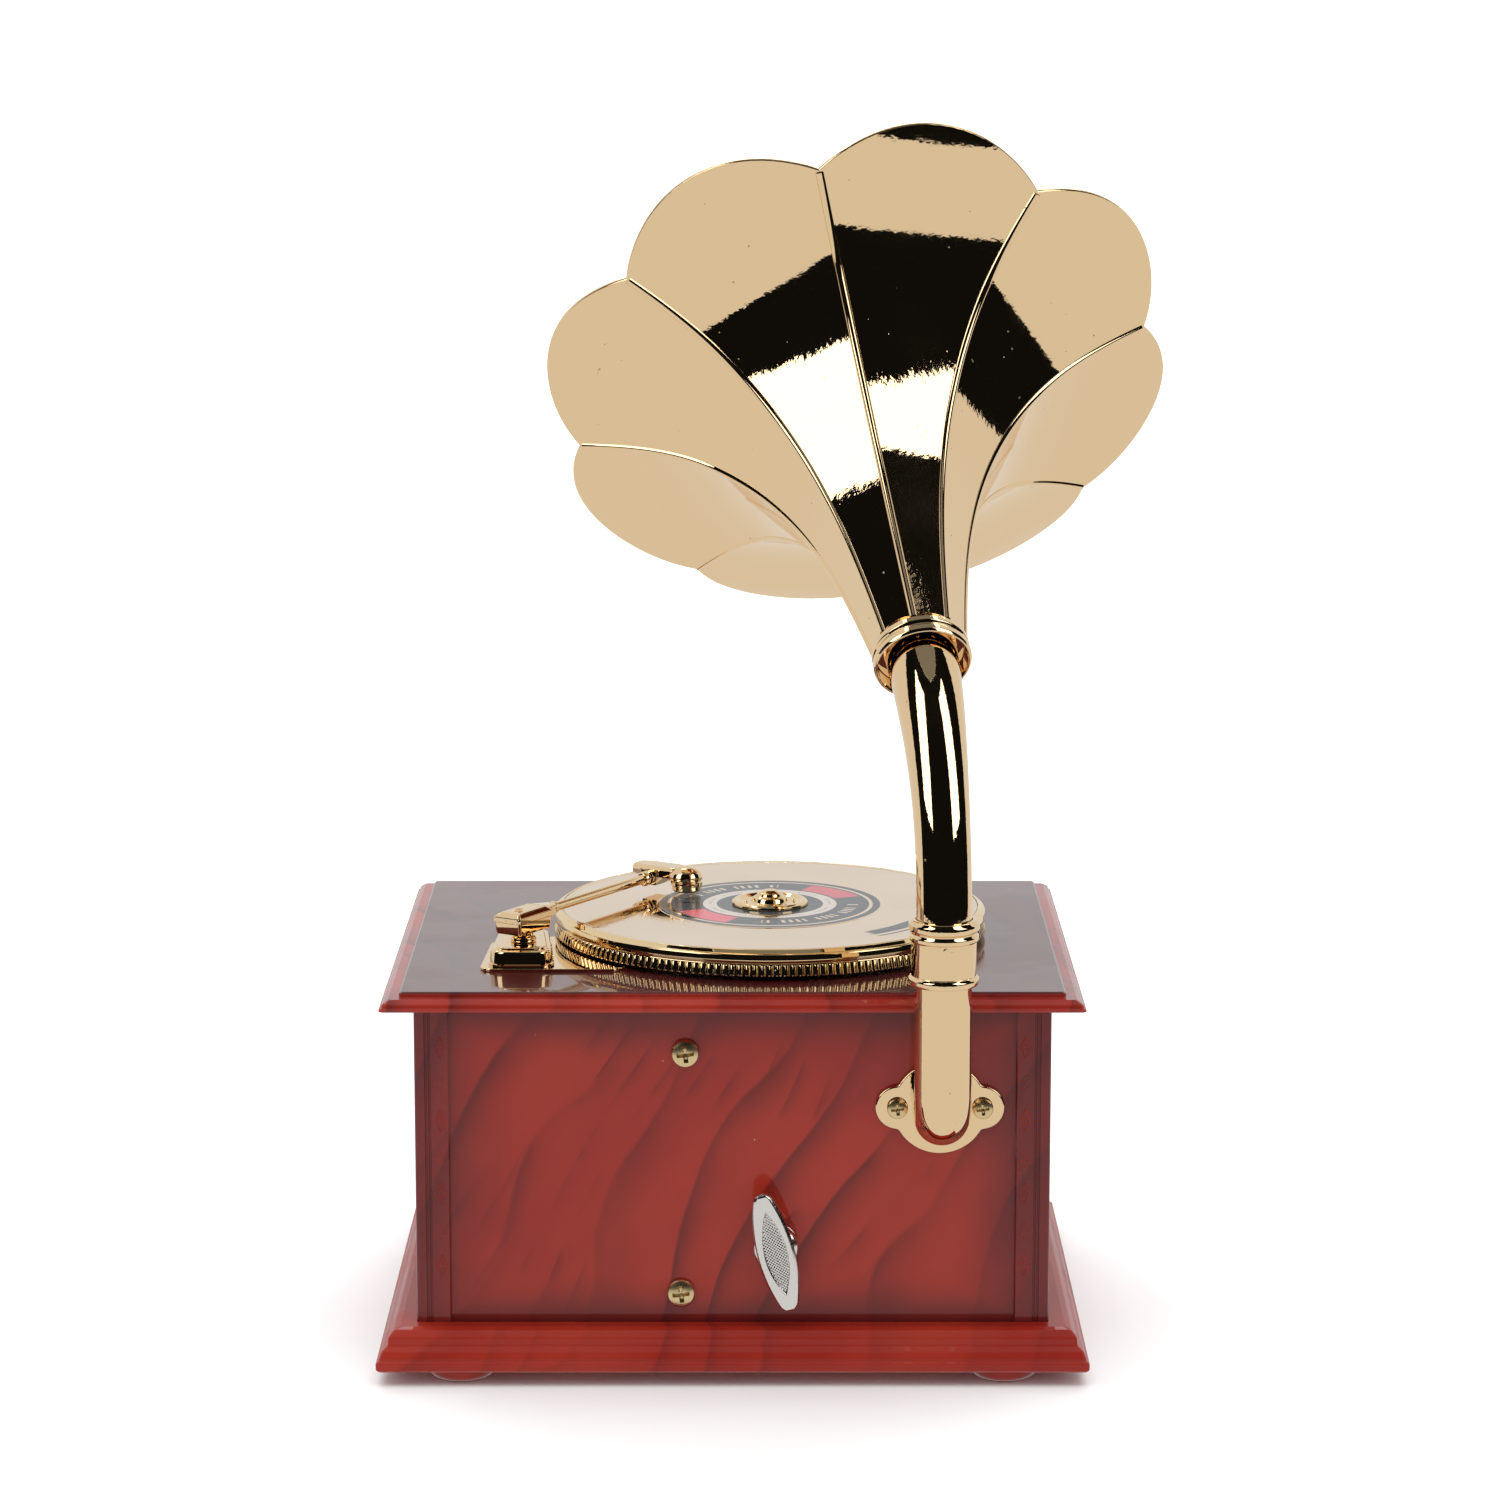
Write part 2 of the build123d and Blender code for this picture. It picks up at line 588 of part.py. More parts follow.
comb_tip = cylinder_x - CYLINDER_RADIUS - PIN_REACH - 0.15
comb_root = comb_tip - COMB_LENGTH
comb_height = COMB_PITCH * COMB_NOTES
comb_middle = first_note + COMB_PITCH * (COMB_NOTES - 1) / 2
comb_screw_places = [(comb_root + 3, comb_middle + side * COMB_SCREW_SPACING / 2) for side in (-1, 1)]
with BuildPart() as comb:
    with BuildSketch(upright(0, CYLINDER_Y - COMB_THICK / 2, 0)) as plate:
        with Locations(((comb_tip + comb_root) / 2, comb_middle)):
            Rectangle(COMB_LENGTH, comb_height)
        for slot in range(1, COMB_NOTES):
            with Locations((comb_tip - COMB_TOOTH / 2, comb_middle - comb_height / 2 + COMB_PITCH * slot)):
                Rectangle(COMB_TOOTH, COMB_GAP, mode=Mode.SUBTRACT)
        with Locations(*comb_screw_places):
            Circle(1.1, mode=Mode.SUBTRACT)
    extrude(plate.sketch, amount=-COMB_THICK)
save(comb, "comb")

with BuildPart() as comb_base:
    with BuildSketch(upright(0, BED_FACE, 0)) as block:
        with Locations((comb_root + 3.2, comb_middle)):
            Rectangle(6.4, comb_height)
        with Locations(*comb_screw_places):
            Circle(1.0, mode=Mode.SUBTRACT)
    extrude(block.sketch, amount=BED_FACE - CYLINDER_Y + COMB_THICK / 2)
save(comb_base, "comb_base")

with BuildPart() as comb_screws:
    for x, z in comb_screw_places:
        seat = (CASE_X + x, CASE_Y + CYLINDER_Y + COMB_THICK / 2, z)
        pan_screw(Plane(seat, x_dir=(1, 0, 0), z_dir=(0, 1, 0)), 1.9, 1.2, 0.95, 6.0)
save(comb_screws, "comb_screws")

worm_pitch = WORM_MODULE * WORM_TEETH / 2
fly_x = governor_x + worm_pitch + 0.9 * WORM_MODULE + WORM_RADIUS + 0.15
frame_left = cylinder_x + CYLINDER_RADIUS + PIN_REACH + 0.6
frame_right = fly_x + 2.6
fly_front = CYLINDER_Y + 6.4
with BuildPart() as governor_frame:
    frame_middle = (frame_left + frame_right) / 2
    frame_width = frame_right - frame_left
    with BuildSketch(upright(0, BED_FACE, 0)) as back_plate:
        with Locations((frame_middle, 63.6)):
            Rectangle(frame_width, 13.2)
        with Locations((fly_x, FLY_Z)):
            Circle(FLY_SPINDLE + RUNNING_FIT, mode=Mode.SUBTRACT)
    extrude(back_plate.sketch, amount=-1.0)
    for height in (57.0, 69.2):
        with BuildSketch(flat(0, 0, height)) as shelf:
            with Locations((frame_middle, (BED_FACE + fly_front) / 2)):
                Rectangle(frame_width, fly_front - BED_FACE)
            with Locations((governor_x, CYLINDER_Y)):
                Circle(GOVERNOR_STEM + RUNNING_FIT, mode=Mode.SUBTRACT)
        extrude(shelf.sketch, amount=1.0)
    with BuildSketch(upright(0, fly_front, 0)) as front_tab:
        with Locations((fly_x, 61.0)):
            Rectangle(5.0, 8.0)
        with Locations((fly_x, FLY_Z)):
            Circle(FLY_SPINDLE + RUNNING_FIT, mode=Mode.SUBTRACT)
    extrude(front_tab.sketch, amount=1.0)
save(governor_frame, "governor_frame")

with BuildPart() as governor_wheel:
    stem = [(0, 57.1), (GOVERNOR_STEM, 57.1), (GOVERNOR_STEM, 70.0), (0, 70.0)]
    turn(upright(governor_x, CYLINDER_Y, 0), stem)
    pinion_plane = flat(governor_x, CYLINDER_Y, GEAR_BOTTOM).rotated((0, 0, governor_turn))
    spur_gear(pinion_plane, PINION_TEETH, MODULE, GEAR_THICK, 0.6)
    spur_gear(flat(governor_x, CYLINDER_Y, FLY_Z - 0.8), WORM_TEETH, WORM_MODULE, 1.6, 0.6)
save(governor_wheel, "governor_wheel")

with BuildPart() as governor_fly:
    worm_start = CYLINDER_Y - 4.0
    worm_end = CYLINDER_Y + 4.0
    worm = [(0, BED_FACE + 0.1), (FLY_SPINDLE, BED_FACE + 0.1), (FLY_SPINDLE, worm_start)]
    worm += [(WORM_RADIUS, worm_start), (WORM_RADIUS, worm_end), (FLY_SPINDLE, worm_end)]
    worm += [(FLY_SPINDLE, fly_front - 0.1), (0, fly_front - 0.1)]
    turn(flat(fly_x, 0, FLY_Z), worm)
    with BuildSketch(upright(fly_x, BED_FACE + 2.2, FLY_Z)) as blades:
        Rectangle(6.6, 0.5)
    extrude(blades.sketch, amount=-7.0)
save(governor_fly, "governor_fly")

# ---- Turntable ----------------------------------------------------------------------------------------------

with BuildPart() as idler_gear:
    bore = IDLER_POST + RUNNING_FIT
    idler_plane = flat(idler_x, idler_y, GEAR_BOTTOM).rotated((0, 0, idler_turn))
    spur_gear(idler_plane, IDLER_TEETH, MODULE, GEAR_THICK, bore)
    gear_top = GEAR_BOTTOM + GEAR_THICK
    collar = [(bore, gear_top), (2.4, gear_top), (2.4, LID_BOTTOM - 0.2), (bore, LID_BOTTOM - 0.2)]
    turn(upright(idler_x, idler_y, 0), collar)
save(idler_gear, "idler_gear")

with BuildPart() as idler_post:
    post = [(0, GEAR_BOTTOM - 1.4), (2.2, GEAR_BOTTOM - 1.4), (2.2, GEAR_BOTTOM - 0.2)]
    post += [(IDLER_POST, GEAR_BOTTOM - 0.2), (IDLER_POST, LID_BOTTOM), (0, LID_BOTTOM)]
    turn(upright(idler_x, idler_y, 0), post)
save(idler_post, "idler_post")

with BuildPart() as turntable_gear:
    table_plane = flat(TABLE_X, TABLE_Y, GEAR_BOTTOM).rotated((0, 0, table_turn))
    spur_gear(table_plane, TABLE_TEETH, MODULE, GEAR_THICK, SHAFT_RADIUS)
    boss = [(SHAFT_RADIUS, GEAR_BOTTOM - 3), (4, GEAR_BOTTOM - 3)]
    boss += [(4, GEAR_BOTTOM), (SHAFT_RADIUS, GEAR_BOTTOM)]
    turn(upright(TABLE_X, TABLE_Y, 0), boss)
save(turntable_gear, "turntable_gear")

with BuildPart() as shaft_bushing:
    bore = SHAFT_RADIUS + RUNNING_FIT
    bush = [(bore, LID_BOTTOM - 1.2), (6, LID_BOTTOM - 1.2), (6, LID_BOTTOM), (4, LID_BOTTOM)]
    bush += [(4, LID_TOP + 0.4), (bore, LID_TOP + 0.4)]
    turn(upright(TABLE_X, TABLE_Y, 0), bush)
save(shaft_bushing, "shaft_bushing")

with BuildPart() as turntable_shaft:
    shaft_top = RECORD_TOP + 0.4
    shaft = [(0, GEAR_BOTTOM - 4), (SHAFT_RADIUS, GEAR_BOTTOM - 4), (SHAFT_RADIUS, shaft_top), (0, shaft_top)]
    turn(upright(TABLE_X, TABLE_Y, 0), shaft)
save(turntable_shaft, "turntable_shaft")

record_bottom = RECORD_TOP - RECORD_THICK
with BuildPart() as platter:
    rim = [(SHAFT_RADIUS, KNURL_BOTTOM), (8, KNURL_BOTTOM), (8, KNURL_TOP), (38, KNURL_TOP)]
    rim += [(40, KNURL_BOTTOM)]
    rim += [(TABLE_RADIUS - 0.35, KNURL_BOTTOM), (TABLE_RADIUS - 0.35, KNURL_TOP)]
    rim += [(TABLE_RADIUS - 0.45, KNURL_TOP + 0.1)]
    for angle in range(0, 181, 30):
        rim.append((TABLE_RADIUS - 0.3 + 0.3 * sin(radians(angle)), BEAD_HEIGHT - 0.9 * cos(radians(angle))))
    rim += [(TABLE_RADIUS - 0.9, 81.6), (RECORD_RADIUS + 0.1, RECORD_TOP), (RECORD_RADIUS + 0.02, RECORD_TOP)]
    rim += [(RECORD_RADIUS + 0.02, record_bottom), (SHAFT_RADIUS, record_bottom)]
    turn(upright(TABLE_X, TABLE_Y, 0), rim)
    tooth_width = 0.5 * 2 * pi * TABLE_RADIUS / KNURL_TEETH
    with BuildSketch(flat(TABLE_X, TABLE_Y, KNURL_BOTTOM)) as knurl:
        with PolarLocations(TABLE_RADIUS - 0.4, KNURL_TEETH):
            Rectangle(0.8, tooth_width)
    extrude(knurl.sketch, amount=KNURL_TOP - KNURL_BOTTOM - 0.1)
save(platter, "platter")

with BuildPart() as record_disc:
    disc = [(SHAFT_RADIUS, record_bottom), (RECORD_RADIUS, record_bottom)]
    disc += [(RECORD_RADIUS, RECORD_TOP), (SHAFT_RADIUS, RECORD_TOP)]
    turn(upright(TABLE_X, TABLE_Y, 0), disc)
save(record_disc, "record_disc")

with BuildPart() as spindle_cap:
    cap = [(SHAFT_RADIUS, RECORD_TOP), (HUB_RADIUS, RECORD_TOP), (HUB_RADIUS, RECORD_TOP + 0.5)]
    cap += [(HUB_RADIUS - 0.7, RECORD_TOP + 1.0), (4.6, RECORD_TOP + 0.8), (4.0, RECORD_TOP + 0.6)]
    cap += [(3.0, RECORD_TOP + 0.8), (2.6, RECORD_TOP + 1.9), (1.4, RECORD_TOP + 2.7), (0, RECORD_TOP + 2.9)]
    cap += [(0, shaft_top), (SHAFT_RADIUS, shaft_top)]
    turn(upright(TABLE_X, TABLE_Y, 0), cap)
save(spindle_cap, "spindle_cap")

# ---- Tonearm ------------------------------------------------------------------------------------------------

with BuildPart() as deck_plate:
    plate_corners = [(-48.8, -34), (-22.8, -34), (-14, -26), (TABLE_X + 6, TABLE_Y - 9)]
    plate_corners += [(TABLE_X - 4, TABLE_Y + 9), (-47.6, -10)]
    with BuildSketch(flat(0, 0, LID_TOP)) as plate:
        with BuildLine():
            Polyline(*plate_corners, close=True)
        make_face()
        with Locations((TABLE_X, TABLE_Y)):
            Circle(10)
            Circle(4.4, mode=Mode.SUBTRACT)
        with Locations((PIVOT_X, PIVOT_Y)):
            Circle(1.6, mode=Mode.SUBTRACT)
    extrude(plate.sketch, amount=DECK_THICK)
save(deck_plate, "deck_plate")

turret_corners = ((-47.3, -33.2), (-34.2, -33.2), (-35.8, -11.5), (-46.2, -11.5))
with BuildPart() as arm_turret:
    with BuildSketch(flat(0, 0, LID_TOP + DECK_THICK)) as foot:
        with BuildLine():
            Polyline(*turret_corners, close=True)
        make_face()
        fillet(foot.vertices(), 3.2)
        with Locations((PIVOT_X, PIVOT_Y)):
            Circle(ARM_STEM + RUNNING_FIT, mode=Mode.SUBTRACT)
    extrude(foot.sketch, amount=TURRET_TOP - LID_TOP - DECK_THICK)
    chamfer(arm_turret.faces().sort_by(Axis.Z)[-1].outer_wire().edges(), 0.5)
save(arm_turret, "arm_turret")

arm_along = Vector(cos(radians(ARM_HEADING)), sin(radians(ARM_HEADING)), 0)
arm_across = Vector(sin(radians(ARM_HEADING)), -cos(radians(ARM_HEADING)), 0)
pivot = Vector(CASE_X + PIVOT_X, CASE_Y + PIVOT_Y, 0)


def on_arm(along, z):
    """Horizontal plane on the tonearm: x runs out along the arm and y to its left."""
    return Plane(origin=pivot + arm_along * along + Vector(0, 0, z), x_dir=arm_along, z_dir=(0, 0, 1))


def across_arm(along):
    """Plane square to the tonearm at its height."""
    return Plane(on_arm(along, ARM_HEIGHT).origin, x_dir=-arm_across, z_dir=arm_along)


with BuildPart() as arm_pivot:
    stem = [(0, LID_BOTTOM - 2.5), (ARM_STEM, LID_BOTTOM - 2.5), (ARM_STEM, TURRET_TOP + 0.15)]
    stem += [(2.5, TURRET_TOP + 0.15)]
    stem += [(2.5, TURRET_TOP + 1.0), (1.9, TURRET_TOP + 1.3), (1.9, TURRET_TOP + 2.0), (0, TURRET_TOP + 2.0)]
    turn(upright(PIVOT_X, PIVOT_Y, 0), stem)
save(arm_pivot, "arm_pivot")

with BuildPart() as stop_lever:
    with BuildSketch(on_arm(0, LID_BOTTOM - 2.4).rotated((0, 0, -67))) as lever:
        with Locations((12, 0)):
            SlotCenterToCenter(24, 5)
        Circle(ARM_STEM, mode=Mode.SUBTRACT)
    extrude(lever.sketch, amount=1.0)
save(stop_lever, "stop_lever")

block_bottom = TURRET_TOP + 2.0
with BuildPart() as arm_block:
    with BuildSketch(on_arm(0, block_bottom)) as block:
        Rectangle(11.4, 6.4)
    extrude(block.sketch, amount=4.8)
    chamfer(arm_block.faces().sort_by(Axis.Z)[-1].edges(), 0.8)
    with BuildSketch(across_arm(5.7)) as nose:
        Rectangle(4.2, 3.4)
    with BuildSketch(across_arm(ARM_TUBE_START)) as nose_end:
        Circle(1.4)
    loft(Sketch() + [nose.sketch.face(), nose_end.sketch.face()])
save(arm_block, "arm_block")

with BuildPart() as arm_tube:
    with BuildSketch(across_arm(ARM_TUBE_START)) as bar:
        Circle(ARM_RADIUS)
    extrude(bar.sketch, amount=HEAD_START - ARM_TUBE_START)
save(arm_tube, "arm_tube")

head_corners = ((-2.8, -7.2), (-2.8, 2.2), (-1.0, 5.0), (1.6, 5.0), (2.8, 2.2), (2.8, -7.2))
with BuildPart() as headshell:
    with BuildSketch(across_arm(HEAD_START)) as ferrule:
        Circle(1.5)
    extrude(ferrule.sketch, amount=ARM_LENGTH - HEAD_START)
    head_plane = on_arm(ARM_LENGTH + 2.6, ARM_HEIGHT + 0.2)
    with BuildSketch(head_plane) as shell:
        with BuildLine():
            head = Polyline(*head_corners)
            ThreePointArc(head @ 1, (0, -10.6), head @ 0)
        make_face()
    extrude(shell.sketch, amount=2.4)
    with BuildSketch(head_plane.offset(-1.7)) as saddle:
        Rectangle(5.6, 3.4)
    extrude(saddle.sketch, amount=1.7)
    chamfer(headshell.faces().sort_by(Axis.Z)[-1].edges(), 0.6)
save(headshell, "headshell")

with BuildPart() as cartridge:
    with BuildSketch(on_arm(ARM_LENGTH + 2.6, RECORD_TOP + 0.5)) as can:
        with Locations((0, -7.3)):
            Circle(3.2)
    extrude(can.sketch, amount=ARM_HEIGHT + 0.2 - RECORD_TOP - 0.5)
    chamfer(cartridge.faces().sort_by(Axis.Z)[0].edges(), 0.5)
save(cartridge, "cartridge")

# ---- Horn post ----------------------------------------------------------------------------------------------

with BuildPart() as bracket_plate:
    with BuildSketch(upright(POST_X, BACK_PANEL, ELBOW_Z)):
        Circle(9.0)
        with Locations((-EAR_REACH, 0), (EAR_REACH, 0)):
            Circle(4.2)
        Circle(SPIGOT_RADIUS + RUNNING_FIT, mode=Mode.SUBTRACT)
        with Locations((-EAR_REACH, 0), (EAR_REACH, 0)):
            Circle(1.1, mode=Mode.SUBTRACT)
    extrude(amount=BRACKET_THICK)
    chamfer(bracket_plate.faces().sort_by(Axis.Y)[0].outer_wire().edges(), 0.35)
save(bracket_plate, "bracket_plate")

through_bracket = BRACKET_THICK + WALL - PANEL_RECESS
with BuildPart() as bracket_screws:
    for side in (-EAR_REACH, EAR_REACH):
        seat = upright(POST_X + side, BACK_PANEL - BRACKET_THICK, ELBOW_Z)
        pan_screw(seat, 2.0, 1.3, 1.0, through_bracket)
save(bracket_screws, "bracket_screws")

with BuildPart() as horn_post:
    post_axis = Vector(CASE_X + POST_X, CASE_Y + POST_Y, 0)
    plate_face = CASE_Y + BACK_PANEL - BRACKET_THICK
    with BuildLine() as route:
        stem = Line(post_axis + Vector(0, 0, POST_TOP), post_axis + Vector(0, 0, ELBOW_Z + ELBOW_BEND))
        cut_corner = ELBOW_BEND * (1 - cos(pi / 4))
        bend_middle = post_axis + Vector(0, cut_corner, ELBOW_Z + cut_corner)
        bend = ThreePointArc(stem @ 1, bend_middle, post_axis + Vector(0, ELBOW_BEND, ELBOW_Z))
        Line(bend @ 1, (CASE_X + POST_X, plate_face, ELBOW_Z))
    with BuildSketch(Plane(origin=stem @ 0, z_dir=(0, 0, -1))):
        Circle(POST_RADIUS)
    sweep()
    with BuildSketch(flat(POST_X, POST_Y, POST_TOP)):
        Circle(POST_BORE)
    extrude(amount=-24, mode=Mode.SUBTRACT)
    with BuildSketch(upright(POST_X, BACK_PANEL - BRACKET_THICK, ELBOW_Z)):
        Circle(SPIGOT_RADIUS)
    extrude(amount=-through_bracket)
save(horn_post, "horn_post")

with BuildPart() as post_collar:
    bore = POST_RADIUS
    ring = [(bore, COLLAR_BOTTOM)]
    beads = ((COLLAR_BOTTOM + 0.9, 0.9, 0.55), (COLLAR_TOP - 3.1, 0.7, 0.45), (COLLAR_TOP - 1.2, 1.0, 0.55))
    for height, half, proud in beads:
        for a in range(-90, 91, 30):
            ring.append((COLLAR_RADIUS + proud * cos(radians(a)), height + half * sin(radians(a))))
    ring += [(COLLAR_RADIUS - 0.2, COLLAR_TOP), (bore, COLLAR_TOP)]
    turn(upright(POST_X, POST_Y, 0), ring)
save(post_collar, "post_collar")

# ---- Horn ---------------------------------------------------------------------------------------------------

horn_centre = Vector(CASE_X + HORN_X, CASE_Y + HORN_Y, HORN_Z)
level_part = cos(radians(HORN_ELEVATION))
heading = radians(HORN_HEADING)
horn_axis = Vector(sin(heading) * level_part, cos(heading) * level_part, sin(radians(HORN_ELEVATION)))
horn_up = Vector(0, 0, 1) - horn_axis * horn_axis.Z
horn_base = Plane(origin=horn_centre, x_dir=horn_up.normalized(), z_dir=horn_axis)
half_gore = 180 / GORES


def horn_side(angle):
    """Plane through the horn's axis: x runs out from the axis and y along it."""
    out = horn_base.x_dir.rotate(Axis((0, 0, 0), horn_axis), angle)
    return Plane(origin=horn_centre, x_dir=out, z_dir=out.cross(horn_axis))


neck_spigot = NECK_TUBE_TOP - 0.2
with BuildPart() as neck_tube:
    foot = post_axis + Vector(0, 0, COLLAR_TOP - 0.5)
    with BuildLine() as route:
        bend = Spline(foot, horn_centre, tangents=[(0, 0, 1), horn_axis], tangent_scalars=[1.25, 0.9])
    stations = [bend ^ share for share in (0, 0.2, 0.4, 0.6, 0.8, 1)]
    radii = [5.2, 5.2, 5.4, 5.9, 6.5, NECK_TUBE_TOP]
    for station, radius in zip(stations, radii):
        with BuildSketch(Plane(origin=station.position, x_dir=(1, 0, 0), z_dir=Plane(station).z_dir)):
            Circle(radius)
    loft()
    with BuildSketch(flat(POST_X, POST_Y, POST_TOP)):
        Circle(5.2)
    extrude(amount=COLLAR_TOP - 0.5 - POST_TOP)
    with BuildSketch(flat(POST_X, POST_Y, POST_TOP)):
        Circle(POST_BORE - RUNNING_FIT)
    extrude(amount=-10)
    with BuildSketch(horn_base):
        Circle(NECK_TUBE_TOP)
    extrude(amount=NECK_SHOULDER)
    with BuildSketch(horn_base.offset(NECK_SHOULDER)):
        Circle(neck_spigot)
    extrude(amount=4.8)
save(neck_tube, "neck_tube")

profile = [(8.0, 0), (12.4, 25), (21.2, 49.5), (35.3, 66.9), (53.1, 76.0), (PETAL_RADIUS, PETAL_LENGTH)]
notch_angles = [radians(HORN_ROLL), radians(HORN_ROLL + 2 * half_gore)]
tip_angle = radians(HORN_ROLL + half_gore)
notches = [(NOTCH_RADIUS * cos(a), NOTCH_RADIUS * sin(a)) for a in notch_angles]
crest = ((PETAL_RADIUS - 0.2) * cos(tip_angle), (PETAL_RADIUS - 0.2) * sin(tip_angle))
with BuildPart() as gore:
    with BuildSketch(horn_side(HORN_ROLL + half_gore)) as strip:
        with BuildLine():
            outer = Spline(*profile)
            inner_points = []
            for share in (0, 0.2, 0.4, 0.6, 0.8, 0.9, 1):
                run = outer % share
                inner_points.append(outer @ share + Vector(-run.Y, run.X, 0) * HORN_WALL)
            inner = Spline(*inner_points)
            Line(outer @ 0, inner @ 0)
            Line(outer @ 1, inner @ 1)
        make_face()
    extrude(strip.sketch, amount=PETAL_RADIUS / 2, both=True)
    with BuildSketch(horn_base.offset(GORE_START)) as petal:
        with BuildLine():
            Line((0, 0), notches[0])
            Line((0, 0), notches[1])
            ThreePointArc(notches[0], crest, notches[1])
        make_face()
    extrude(petal.sketch, amount=PETAL_LENGTH + 10, mode=Mode.INTERSECT)

with BuildPart() as horn_bell:
    for number in range(GORES):
        add(gore.part.rotate(Axis(horn_centre, horn_axis), number * 2 * half_gore))
    bore = neck_spigot + RUNNING_FIT
    sleeve = [(bore, NECK_SHOULDER), (HORN_NECK, NECK_SHOULDER), (HORN_NECK, GORE_START)]
    sleeve += [(SLEEVE_RADIUS, GORE_START), (SLEEVE_RADIUS, 5.0), (bore, 5.0)]
    turn(horn_side(0), sleeve)
save(horn_bell, "horn_bell")

with BuildPart() as horn_ring:
    cup = [(HORN_NECK, GORE_START)]
    for height, half, proud in ((1.1, 0.8, 0.5), (-1.1, 1.0, 0.6)):
        for a in range(90, -91, -30):
            cup.append((HORN_RING_BORE + 0.1 + proud * cos(radians(a)), height + half * sin(radians(a))))
    cup += [(HORN_RING_BORE, -2.3), (HORN_RING_BORE, NECK_SHOULDER), (HORN_NECK, NECK_SHOULDER)]
    turn(horn_side(0), cup)
save(horn_ring, "horn_ring")

# ---- Winding key --------------------------------------------------------------------------------------------

key_axis = flat(KEY_X, 0, KEY_Z)
with BuildPart() as key_hub:
    hub = [(ARBOR_RADIUS, KEY_FACE + 3.2), (ARBOR_RADIUS, BACK_PANEL - 0.8), (4.25, BACK_PANEL - 0.8)]
    hub += [(4.25, KEY_FACE + 2.6), (3.0, KEY_FACE + 1.8), (0, KEY_FACE + 1.8), (0, KEY_FACE + 3.2)]
    turn(key_axis, hub)
save(key_hub, "key_hub")

with BuildPart() as key_blade:
    tilt = radians(KEY_TILT)
    back_of_blade = (CASE_X + KEY_X, CASE_Y + KEY_FACE + 1.8, KEY_Z)
    with BuildSketch(Plane(back_of_blade, x_dir=(cos(tilt), 0, sin(tilt)), z_dir=(0, -1, 0))) as lens:
        with BuildLine():
            ThreePointArc((0, -KEY_LENGTH / 2), (KEY_WIDTH / 2, 0), (0, KEY_LENGTH / 2))
            ThreePointArc((0, KEY_LENGTH / 2), (-KEY_WIDTH / 2, 0), (0, -KEY_LENGTH / 2))
        make_face()
        fillet(lens.vertices(), 0.9)
    extrude(lens.sketch, amount=1.8)
    chamfer(key_blade.faces().sort_by(Axis.Y)[0].edges(), 0.45)
save(key_blade, "key_blade")
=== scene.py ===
"""Looks of the wind-up music box shaped like a horn gramophone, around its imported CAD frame.

Lengths are in millimetres until a mesh is made, and metres in Blender. The key side faces -Y.
"""

import math

import bmesh
import bpy
import numpy as np
from mathutils import Euler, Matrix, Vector

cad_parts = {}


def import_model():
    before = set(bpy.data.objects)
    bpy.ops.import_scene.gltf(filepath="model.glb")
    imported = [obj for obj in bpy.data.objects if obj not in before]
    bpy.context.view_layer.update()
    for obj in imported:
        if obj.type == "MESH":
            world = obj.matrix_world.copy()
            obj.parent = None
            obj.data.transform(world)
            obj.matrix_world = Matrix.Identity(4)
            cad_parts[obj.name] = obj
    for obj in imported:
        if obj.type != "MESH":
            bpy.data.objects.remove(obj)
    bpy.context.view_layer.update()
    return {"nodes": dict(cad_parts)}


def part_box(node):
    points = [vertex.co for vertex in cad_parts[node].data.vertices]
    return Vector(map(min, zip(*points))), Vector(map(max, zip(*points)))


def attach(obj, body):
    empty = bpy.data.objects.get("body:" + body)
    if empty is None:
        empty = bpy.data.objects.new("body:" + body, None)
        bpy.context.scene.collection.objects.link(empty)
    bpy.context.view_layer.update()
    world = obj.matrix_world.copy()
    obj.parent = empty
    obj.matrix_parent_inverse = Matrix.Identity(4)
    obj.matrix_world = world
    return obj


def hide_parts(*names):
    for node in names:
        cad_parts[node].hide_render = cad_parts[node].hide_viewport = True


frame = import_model()

MM = 0.001
NODES = frame["nodes"]
SCENE = bpy.context.scene


# ---- Places read from the frame ----


def box_mm(node):
    """Lowest and highest corner of a CAD node, in millimetres."""
    low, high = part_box(node)
    return np.array(low) / MM, np.array(high) / MM


def middle_mm(node):
    """Middle of a CAD node's box, in millimetres."""
    low, high = box_mm(node)
    return (low + high) / 2


CASE_LOW, CASE_HIGH = box_mm("case_body")
LID_LOW, LID_HIGH = box_mm("lid")
BASE_LOW, BASE_HIGH = box_mm("base_plinth")
COVER_LOW, COVER_HIGH = box_mm("bottom_cover")
CASE_MIDDLE = middle_mm("lid")[:2]
CASE_HALF = np.array([60.5, 48.2])
RECORD_LOW, RECORD_HIGH = box_mm("record_disc")
TABLE = middle_mm("record_disc")[:2]
PLATTER_TOP = box_mm("platter")[1][2]
PIVOT = middle_mm("arm_pivot")[:2]
TURRET_LOW, TURRET_HIGH = box_mm("arm_turret")
DECK_LOW, DECK_HIGH = box_mm("deck_plate")
COLLAR_LOW, COLLAR_HIGH = box_mm("post_collar")
POST = middle_mm("post_collar")[:2]
BRACKET_LOW, BRACKET_HIGH = box_mm("bracket_plate")
BRACKET_MIDDLE = middle_mm("bracket_plate")
KEY_FACE_Y = box_mm("key_blade")[0][1]
KEY_AXIS = middle_mm("winding_arbor")


# ---- Mesh helpers ----


